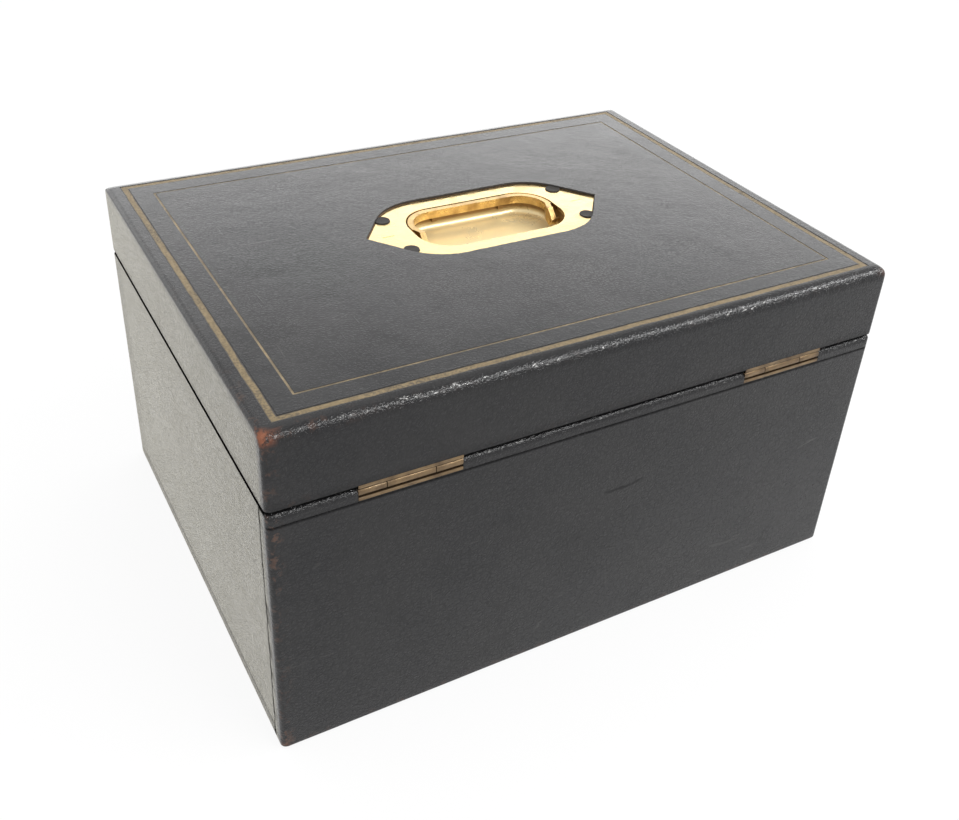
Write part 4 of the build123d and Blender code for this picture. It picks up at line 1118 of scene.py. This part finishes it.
def paint_base_wear(piece, low, high):
    """Where the base's leather is brown, bare, shiny, painted black as shade in its seams,
    lightened as a painted reflection and flecked as a painted highlight."""
    foot_corner = Vector((high.x, high.y, 0.0))

    def wear(co):
        foot = 1.0 - smooth_step(co.z, 1.0 * MM, 5.0 * MM)
        by_foot = 1.0 - smooth_step(co.z, 4 * MM, 22 * MM)
        ends = max(smooth_step(co.z, 70 * MM, 100 * MM), by_foot)
        close = edge_closeness(co, low, high, 5 * MM)
        return max(by_upright(co, high) * (0.45 + 0.55 * ends), 0.55 * foot * close)

    def corner_wear(co):
        return 0.35 * nearness(co, foot_corner, 1.0 * MM, 5.0 * MM)

    def rubbed(_):
        return 0.0

    def edge_shine(co):
        back = smooth_step(co.y, high.y - 5.5 * MM, high.y - 3.5 * MM)
        return back * smooth_step(co.z, high.z - 3.5 * MM, high.z - 2.0 * MM)

    # Painted shade: the rim's outer edge by the gap under the lid, the lapped seam on the end
    # and the crease under the back rim
    def shaded_seam(co):
        rim = rim_closeness(co, high)
        rim *= smooth_step(co.z, high.z - 0.9 * MM, high.z - 0.45 * MM)
        if co.y > high.y - 3.2 * MM:
            rim *= 1.0 - smooth_step(co.y, high.y - 2.6 * MM, high.y - 1.9 * MM)
        lap = 0.0
        if co.x > high.x - 1.5 * MM:
            spread = 1.0 + 0.5 * noise.noise(Vector((5.0, 2.0, co.z * 190.0)))
            gap = abs(co.y - lap_place(high.y, co.z))
            lap = 1.0 - smooth_step(gap, 0.55 * MM * spread, 1.15 * MM * spread)
        crease = 0.0
        if co.y > high.y - 1.2 * MM:
            away = abs(high.z - co.z - BACK_CREASE_BELOW)
            crease = 0.65 * (1.0 - smooth_step(away, 0.2 * MM, 0.7 * MM))
        return max(rim, lap, crease)

    # Painted reflection: where the base's end is lightened and given a sheen
    def painted_end_light(co):
        return end_face(co, high)

    # Painted highlight: the band of the base's back rim that gets white flecks
    def highlight_flecks(co):
        back = smooth_step(co.y, high.y - 2.2 * MM, high.y - 1.4 * MM)
        return 0.35 * back * smooth_step(co.z, high.z - 1.5 * MM, high.z - 0.9 * MM)

    paint_all(piece, wear, corner_wear, rubbed, edge_shine, shaded_seam, painted_end_light, highlight_flecks)


def soften_back_rim(bm, half, top):
    """Rounds the base's back rim more than its others."""
    for vert in bm.verts:
        share = smooth_step(vert.co.y, half.y - 4.0 * MM, half.y - 2.0 * MM)
        radius = RIM_ROUND + (BACK_RIM_ROUND - RIM_ROUND) * share
        across = half.y - vert.co.y
        down = top - vert.co.z
        if across < radius and down < radius:
            gap = Vector((radius - across, radius - down))
            if gap.length > radius:
                gap = gap.normalized() * radius
                vert.co.y = half.y - radius + gap.x
                vert.co.z = top - radius + gap.y


def crease_back(bm, half, top):
    """The blind crease under the back rim and the one along the foot of the end."""
    for vert in bm.verts:
        under_rim = abs(top - vert.co.z - BACK_CREASE_BELOW) < BY_CREASE
        if vert.co.y > half.y - BY_CREASE and under_rim:
            fade = 0.6 + 0.4 * noise.noise(vert.co * 40.0)
            vert.co.y -= BACK_CREASE_DEPTH * fade
        by_foot = abs(vert.co.z - END_CREASE_HEIGHT) < BY_CREASE
        if vert.co.x > half.x - 2 * BY_CREASE and by_foot:
            fade = 0.6 + 0.4 * noise.noise(vert.co * 30.0)
            vert.co.x -= END_CREASE_DEPTH * fade


def lap_place(back, z):
    """How far back the lapped join on the end lies at a height."""
    slow = 0.5 * noise.noise(Vector((3.1, 0.0, z * 40.0)))
    quick = 0.25 * noise.noise(Vector((9.4, 0.0, z * 260.0)))
    return back - LAP_WIDTH + (slow + quick) * MM


def lap_end(bm, half, top):
    """The back's leather is wrapped round the corner and lapped over the end's,
    so the end lies a step lower beyond a slightly wavy cut edge."""
    shaded_seam = half.y - LAP_WIDTH
    for gap in (0.8, 0.45, 0.15, -0.15, -0.45, -0.8):
        divide(bm, 1, shaded_seam + gap * MM, reach=0.01 * MM)
    for vert in bm.verts:
        if vert.co.x < half.x - 1.6 * MM:
            continue
        lower = 1.0 - smooth_step(vert.co.y, shaded_seam - 0.1 * MM, shaded_seam + 0.1 * MM)
        fade = smooth_step(vert.co.z, 1.0 * MM, 3.0 * MM)
        fade *= smooth_step(top - vert.co.z, 0.4 * MM, 1.5 * MM)
        far = smooth_step(vert.co.y, -half.y + 2 * MM, -half.y + 8 * MM)
        if abs(vert.co.y - shaded_seam) < 1.0 * MM:
            vert.co.y += lap_place(half.y, vert.co.z) - shaded_seam
        vert.co.x -= LAP_STEP * lower * fade * far


def base_levels(low, high, rim):
    """The rings of the base's skin, from under the box to inside its rim, closer
    together at its creases and below its rim."""
    levels = [(inset, UPRIGHT_ROUND, low.z) for inset in (TURN_IN, 9 * MM, 5 * MM, 2.5 * MM)]
    for across, up in arc(FOOT_ROUND, 90, 0, 4):
        levels.append((across, UPRIGHT_ROUND, low.z + up))
    closer = [
        crease + step * CREASE_STEP
        for crease in (high.z - BACK_CREASE_BELOW, END_CREASE_HEIGHT)
        for step in (-2, -1, 0, 1, 2)
    ]
    closer += [high.z - down * MM for down in (3.2, 2.7, 2.2, 1.7, 1.3)]
    for z in wall_heights(low.z + FOOT_ROUND, high.z - RIM_ROUND, closer)[1:-1]:
        levels.append((0.0, UPRIGHT_ROUND, z))
    for across, up in arc(RIM_ROUND, 0, 90, 5):
        levels.append((across, UPRIGHT_ROUND, high.z - up))
    for inset in (1.3 * MM, 1.7 * MM, 2.2 * MM, 2.8 * MM, 4.0 * MM, 6.5 * MM, rim):
        levels.append((inset, UPRIGHT_ROUND, high.z))
    return levels


def make_base_leather():
    """The base's leather: turned in underneath, up the walls and over the rim."""
    low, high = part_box("base_leather_cover")
    half = Vector((high.x, high.y))
    rim = half.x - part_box("base_right_board")[0].x
    bm = bmesh.new()
    loft(bm, half, base_levels(low, high, rim))
    soften_back_rim(bm, half, high.z)
    crease_back(bm, half, high.z)
    lap_end(bm, half, high.z)
    uneven_skin(bm, UNEVENNESS)
    piece = open_skin_object(bm, "base_leather")

    cut_for_hinges(piece, "base")
    selvedge_low, selvedge_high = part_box("lock_selvedge")
    selvedge_high.z += 1 * MM
    selvedge = prism("selvedge_cutter", selvedge_low, selvedge_high, SLOT_ROUND, 8)
    combine(piece, selvedge, "DIFFERENCE")
    nozzle_low, nozzle_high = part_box("lock_nozzle")
    radius = (nozzle_high.x - nozzle_low.x) / 2
    through = Matrix.Rotation(math.radians(90), 3, "X")
    middle = (nozzle_low + nozzle_high) / 2
    combine(piece, rod("nozzle_cutter", middle, radius, 8 * MM, through, 64), "DIFFERENCE")
    keep_inside(piece, low, high)
    paint_base_wear(piece, low, high)
    shade(piece, LEATHER_SHARP)
    ride_for(piece, "base_leather_cover", "base")


# Metal and wood that keep their CAD shape

def round_off(piece, width, segments, angle):
    """Rounds the edges that are sharper than an angle."""
    edges = piece.modifiers.new("edges", "BEVEL")
    edges.width = width
    edges.segments = segments
    edges.limit_method = "ANGLE"
    edges.angle_limit = math.radians(angle)


def soft_edges(name, width, segments=2):
    """Breaks a CAD piece's sharp edges, without touching its mesh."""
    piece = nodes[name]
    weld = piece.modifiers.new("weld", "WELD")
    weld.merge_threshold = MERGE
    flat = piece.modifiers.new("flat", "DECIMATE")
    flat.decimate_type = "DISSOLVE"
    flat.angle_limit = math.radians(1.0)
    round_off(piece, width, segments, 35)


def finish_cad_pieces():
    """Gives every CAD piece its own finish, and rounds the edges of the brass."""
    finishes = {
        "polished_brass": BRASS_BRIGHT, "aged_brass": BRASS_OLD, "gold_leaf": GOLD,
        "lining_silk": SILK, "padded_silk": SILK, "velvet": VELVET, "ribbon": RIBBON,
        "tray_board": VELVET, "ledge_wood": SILK, "underside_cloth": CLOTH,
        "lock_steel": STEEL, "carcass_wood": WOOD_X, "black_leather": LEATHER_BLACK,
    }
    own = {"handle_pan": BRASS_PAN, "bail_handle": BRASS_BAIL, "bail_pins": BRASS_BAIL}
    for name, piece in nodes.items():
        material = own.get(name, finishes[SLOTS[name]])
        if SLOTS[name] == "carcass_wood" and ("left" in name or "right" in name):
            material = WOOD_Y
        set_materials(piece, material)
        if name.startswith("hinge") and name.endswith("leaf"):
            soft_edges(name, 0.12 * MM)
    soft_edges("handle_plate", 0.10 * MM)
    soft_edges("lock_selvedge", 0.18 * MM)
    soft_edges("link_plate", 0.18 * MM)
    soft_edges("bail_handle", 0.45 * MM, 3)


# Silk, velvet and ribbon

def inflate(piece, cap, free_side):
    """Swells a padded piece like stuffed cloth. It stays where it is glued down and
    along its sides, and no point moves further than the cap."""
    rest = [v.co.copy() for v in piece.data.vertices]
    low = Vector([min(co[axis] for co in rest) for axis in range(3)])
    high = Vector([max(co[axis] for co in rest) for axis in range(3)])
    fixed = []
    for index, co in enumerate(rest):
        from_back = co.z - low.z if free_side > 0 else high.z - co.z
        from_side = min(co.x - low.x, high.x - co.x, co.y - low.y, high.y - co.y)
        side = from_side < GLUE_BAND and from_back < 0.6 * (high.z - low.z)
        if from_back < GLUE_BAND or side:
            fixed.append(index)
    glued = piece.vertex_groups.new(name="glued")
    glued.add(fixed, 1.0, "REPLACE")
    cloth = piece.modifiers.new("stuffing", "CLOTH")
    cloth.settings.use_pressure = True
    cloth.settings.uniform_pressure_force = PRESSURE
    cloth.settings.effector_weights.gravity = 0.0
    cloth.settings.vertex_group_mass = "glued"
    cloth.settings.shrink_min = -0.05
    cloth.settings.bending_stiffness = 0.1
    cloth.point_cache.frame_end = CLOTH_FRAMES
    for step in range(1, CLOTH_FRAMES + 1):
        bpy.context.scene.frame_set(step)
    apply_modifiers(piece)
    bpy.context.scene.frame_set(1)
    for vert, was in zip(piece.data.vertices, rest):
        move = vert.co - was
        for axis, most in enumerate((SIDE_CAP, SIDE_CAP, cap)):
            move[axis] = max(-most, min(most, move[axis]))
        vert.co = was + move


def fill_space(piece, low, high):
    """Stretches a piece sideways, strip by strip, until it fills its space again."""
    for axis, other in ((0, 1), (1, 0)):
        least = [low[axis] + CORNER_REACH] * (FILL_STRIPS + 1)
        most = [high[axis] - CORNER_REACH] * (FILL_STRIPS + 1)
        places = []
        for vert in piece.data.vertices:
            place = (vert.co[other] - low[other]) / (high[other] - low[other]) * FILL_STRIPS
            place = max(0.0, min(FILL_STRIPS - 0.001, place))
            places.append(place)
            for strip in (int(place), int(place) + 1):
                least[strip] = min(least[strip], vert.co[axis])
                most[strip] = max(most[strip], vert.co[axis])
        for vert, place in zip(piece.data.vertices, places):
            strip, part = int(place), place % 1.0
            start = least[strip] * (1 - part) + least[strip + 1] * part
            end = most[strip] * (1 - part) + most[strip + 1] * part
            share = max(0.0, min(1.0, (vert.co[axis] - start) / (end - start)))
            vert.co[axis] = low[axis] + share * (high[axis] - low[axis])


def finish_padding(piece, node, body, material):
    """The last smoothing of a padded piece, its cloth, and what it stands for."""
    finer = piece.modifiers.new("finer", "SUBSURF")
    finer.levels = finer.render_levels = 1
    set_materials(piece, material)
    shade(piece, 60)
    ride_for(piece, node, body)


def make_padding(node, name, body, material, voxel, cap, headroom, free_side=1):
    """A stuffed piece that takes its form from its CAD solid and swells inside its space."""
    low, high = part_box(node)
    bm = bmesh.new()
    bm.from_mesh(nodes[node].data)
    bmesh.ops.remove_doubles(bm, verts=bm.verts, dist=MERGE)
    piece = as_object(bm, name)
    even = piece.modifiers.new("even", "REMESH")
    even.mode = "VOXEL"
    even.voxel_size = voxel
    soft = piece.modifiers.new("soft", "SMOOTH")
    soft.iterations = 2
    apply_modifiers(piece)
    for vert in piece.data.vertices:
        ripple = noise.noise(vert.co * 70.0) * 0.6 + noise.noise(vert.co * 180.0) * 0.3
        from_back = vert.co.z - low.z if free_side > 0 else high.z - vert.co.z
        if from_back > 2 * MM:
            vert.co.z += ripple * RIPPLE
    inflate(piece, cap, free_side)
    fill_space(piece, low, high)
    below = headroom if free_side < 0 else 0.0
    above = headroom if free_side > 0 else 0.0
    for vert in piece.data.vertices:
        vert.co.z = max(low.z - below, min(high.z + above, vert.co.z))
    finish_padding(piece, node, body, material)


def make_roll(low, high, left, width):
    """One round-topped roll, drawn in at its ends, as a bmesh."""
    size = Vector((width, high.y - low.y, high.z - low.z))
    middle = Vector((left + width / 2, (low.y + high.y) / 2, (low.z + high.z) / 2))
    bm = bmesh.new()
    bmesh.ops.create_cube(bm, size=1.0)
    bmesh.ops.scale(bm, vec=size, verts=bm.verts)
    bmesh.ops.translate(bm, vec=middle, verts=bm.verts)
    start = middle - size / 2
    for axis, step in enumerate((1.8 * MM, 3.6 * MM, 3.2 * MM)):
        count = round(size[axis] / step)
        for number in range(1, count):
            divide(bm, axis, start[axis] + size[axis] * number / count)
    for vert in bm.verts:
        across = min(1.0, abs(vert.co.x - middle.x) / (width / 2))
        to_end = min(vert.co.y - low.y, high.y - vert.co.y) / (4 * MM)
        drop = 0.92 * (width / 2) * (1.0 - math.sqrt(1.0 - 0.96 * across ** 2))
        drop += 2.4 * MM * (1.0 - smooth_step(to_end, 0.0, 1.0)) ** 2
        drop += 0.5 * MM * (0.5 + 0.5 * noise.noise(vert.co * 90.0 + middle * 40.0))
        vert.co.z = low.z + (vert.co.z - low.z) * (size.z - drop) / size.z
        vert.co.x = middle.x + (vert.co.x - middle.x) * 0.96
    return bm


def make_rolls():
    """Five velvet rolls side by side, that rings are pushed between."""
    low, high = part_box("ring_rolls")
    width = (high.x - low.x - (ROLLS - 1) * ROLL_GAP) / ROLLS
    lefts = [low.x + index * (width + ROLL_GAP) for index in range(ROLLS)]
    bm = bmesh.new()
    for left in lefts:
        roll = make_roll(low, high, left, width)
        part = bpy.data.meshes.new("roll")
        roll.to_mesh(part)
        roll.free()
        bm.from_mesh(part)
        bpy.data.meshes.remove(part)
    piece = as_object(bm, "ring_bolsters")
    inflate(piece, ROLL_CAP, 1)
    for vert in piece.data.vertices:
        place = int((vert.co.x - low.x) / (width + ROLL_GAP))
        left = lefts[min(ROLLS - 1, max(0, place))]
        vert.co.x = max(left, min(left + width, vert.co.x))
    keep_inside(piece, low, high)
    finish_padding(piece, "ring_rolls", "tray", VELVET)


def make_card(node, body, material, puff, name):
    """A board covered in cloth, slightly full on its faces and soft at its edges."""
    low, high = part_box(node)
    size, middle = high - low, (low + high) / 2
    thin = min(range(3), key=lambda axis: size[axis])
    wide = [axis for axis in range(3) if axis != thin]
    bm = block(low, high)
    for axis in wide:
        count = max(2, round(size[axis] / CARD_STEP))
        for step in range(1, count):
            divide(bm, axis, low[axis] + size[axis] * step / count)
    for vert in bm.verts:
        inside = 1.0
        for axis in wide:
            gap = min(vert.co[axis] - low[axis], high[axis] - vert.co[axis])
            inside *= smooth_step(gap, 0.0, 7 * MM)
        side = math.copysign(1.0, vert.co[thin] - middle[thin])
        draw = 0.5 + 0.5 * noise.noise(vert.co * 45.0)
        vert.co[thin] -= side * puff * (1.0 - inside * (0.5 + 0.5 * draw))
    piece = as_object(bm, name)
    round_off(piece, 0.35 * MM, 3, 50)
    set_materials(piece, material)
    shade(piece, 50)
    ride_for(piece, node, body)


def make_ribbon(side):
    """A lift tab: a ribbon looped up and over inside the tray's end wall."""
    low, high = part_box("tray_lift_tabs")
    end = "right" if side > 0 else "left"
    width = high.y - low.y
    leg = high.z - low.z - TAB_RADIUS
    length = math.pi * TAB_RADIUS + 2 * leg
    centre = Vector((side * (high.x - TAB_RADIUS), 0.0, high.z - TAB_RADIUS))
    bm = bmesh.new()
    bmesh.ops.create_grid(bm, x_segments=10, y_segments=28, size=0.5)
    for vert in bm.verts:
        across = vert.co.x * width * 0.99
        along = (vert.co.y + 0.5) * length
        if along < leg:
            place = Vector((TAB_RADIUS, 0, along - leg))
        elif along > length - leg:
            place = Vector((-TAB_RADIUS, 0, length - leg - along))
        else:
            angle = (along - leg) / TAB_RADIUS
            place = Vector((math.cos(angle), 0, math.sin(angle))) * TAB_RADIUS
        place *= 1.0 - 0.03 * (1.0 + noise.noise(Vector((across * 160, along * 160, side))))
        vert.co = centre + Vector((place.x, across, place.z))
    bmesh.ops.recalc_face_normals(bm, faces=bm.faces)
    piece = as_object(bm, "lift_tab_" + end)
    wall = piece.modifiers.new("thickness", "SOLIDIFY")
    wall.thickness = TAB_THICKNESS
    wall.offset = 0.0
    apply_modifiers(piece)
    set_materials(piece, RIBBON)
    shade(piece, 50)
    ride_for(piece, "tray_lift_tabs", "tray")


def make_interior():
    """The lined, padded inside of the base, the lid and the tray."""
    for body in ("base", "lid"):
        for side in ("front", "back", "left", "right"):
            name = body + "_" + side
            make_card(name + "_lining", body, SILK, 0.18 * MM, name + "_silk")
    make_card("base_underside_cover", "base", CLOTH, 0.05 * MM, "underside_cloth_cover")
    make_padding(
        "base_floor_pad", "floor_cushion", "base", SILK,
        voxel=4.5 * MM, cap=2.5 * MM, headroom=1.0 * MM,
    )
    make_padding(
        "lid_pad", "lid_cushion", "lid", SILK,
        voxel=4.5 * MM, cap=2.0 * MM, headroom=0.6 * MM, free_side=-1,
    )
    make_padding(
        "tray_pads", "tray_cushions", "tray", VELVET,
        voxel=4.0 * MM, cap=1.5 * MM, headroom=0.8 * MM,
    )
    make_rolls()
    for side in (-1, 1):
        make_ribbon(side)


# Camera, light and surroundings

def make_camera():
    """The camera at the photograph's place, with its focal length and framing."""
    azimuth, elevation, roll = map(math.radians, (CAMERA_AZIMUTH, CAMERA_ELEVATION, CAMERA_ROLL))
    back = Vector((
        math.cos(elevation) * math.sin(azimuth), math.cos(elevation) * math.cos(azimuth),
        math.sin(elevation),
    ))
    level = (-back).cross(Vector((0, 0, 1))).normalized()
    rise = level.cross(-back)
    right = math.cos(roll) * level + math.sin(roll) * rise
    up = -math.sin(roll) * level + math.cos(roll) * rise
    data = bpy.data.cameras.new("camera")
    data.sensor_width = SENSOR
    data.sensor_fit = "HORIZONTAL"
    data.lens = FOCAL_PIXELS / PHOTO_WIDTH * SENSOR
    data.shift_x = (PHOTO_WIDTH / 2 - AXIS_U) / PHOTO_WIDTH
    data.shift_y = (AXIS_V - PHOTO_HEIGHT / 2) / PHOTO_WIDTH
    data.clip_start = 0.01
    data.dof.use_dof = False
    camera = bpy.data.objects.new("camera", data)
    bpy.context.scene.collection.objects.link(camera)
    turn = Matrix((right, up, back)).transposed().to_4x4()
    camera.matrix_world = Matrix.Translation(CAMERA_PLACE) @ turn
    bpy.context.scene.camera = camera


def seen_directly(tree_nodes):
    """1 for what the camera, a reflection or a clear view sees, and 0 for light that falls."""
    path = tree_nodes.add("ShaderNodeLightPath").outputs
    seen = tree_nodes.math("ADD", path["Is Camera Ray"], path["Is Glossy Ray"], clamp=True)
    return tree_nodes.math("ADD", seen, path["Is Transmission Ray"], clamp=True)


def make_world():
    """White surroundings, brighter low down behind the box, as the photograph's were.
    The camera itself sees plain white."""
    world = bpy.data.worlds.new("white_surroundings")
    bpy.context.scene.world = world
    world.use_nodes = True
    w = Nodes(world.node_tree)
    direction = w.add("ShaderNodeTexCoord").outputs["Generated"]
    behind = w.band(w.dot(direction, Vector(BRIGHT_SIDE).normalized()), *BRIGHT_SPREAD)
    height = w.add("ShaderNodeSeparateXYZ", Vector=direction).outputs["Z"]
    bright = w.times(behind, w.band(height, *BRIGHT_HEIGHT))
    level = w.line(bright, BRIGHT_LEVEL - SKY_LEVEL, SKY_LEVEL)
    camera_ray = w.add("ShaderNodeLightPath").outputs["Is Camera Ray"]
    sky = w.tree.nodes["Background"]
    w.give(sky.inputs["Color"], (1, 1, 1, 1))
    strength = w.math("ADD", w.times(level, w.rest_of(camera_ray)), camera_ray)
    w.give(sky.inputs["Strength"], strength)


def make_floor():
    """A plain white floor that keeps the object's faint shadow."""
    bm = bmesh.new()
    bmesh.ops.create_grid(bm, x_segments=1, y_segments=1, size=4.0)
    floor = as_object(bm, "floor")
    material = bpy.data.materials.new("white_floor")
    material.use_nodes = True
    n = Nodes(material.node_tree)
    n.tree.nodes.clear()
    matt = n.add("ShaderNodeBsdfDiffuse", Color=(0.9, 0.9, 0.9, 1))
    glow = n.add("ShaderNodeEmission", Strength=1.0)
    both = n.add("ShaderNodeMixShader")
    n.give(both.inputs[0], n.times(seen_directly(n), FLOOR_GLOW))
    n.give(both.inputs[1], matt.outputs[0])
    n.give(both.inputs[2], glow.outputs[0])
    n.add("ShaderNodeOutputMaterial", Surface=both.outputs[0])
    set_materials(floor, material)


def area_light(name, place, target, size, power):
    """A soft square lamp aimed at a point."""
    data = bpy.data.lights.new(name, "AREA")
    data.shape = "RECTANGLE"
    data.size, data.size_y = size
    data.energy = power
    lamp = bpy.data.objects.new(name, data)
    bpy.context.scene.collection.objects.link(lamp)
    lamp.location = place
    way = Vector(target) - Vector(place)
    lamp.rotation_euler = way.to_track_quat("-Z", "Y").to_euler()


def make_lights():
    """A broad lamp overhead and a smaller one that lights the back edges."""
    area_light("overhead", *OVERHEAD_LAMP)
    area_light("edge_lamp", *EDGE_LAMP)


# The whole scene

bpy.context.scene.view_settings.view_transform = "Standard"
finish_cad_pieces()
make_lid_leather()
make_base_leather()
make_interior()
make_camera()
make_world()
make_floor()
make_lights()
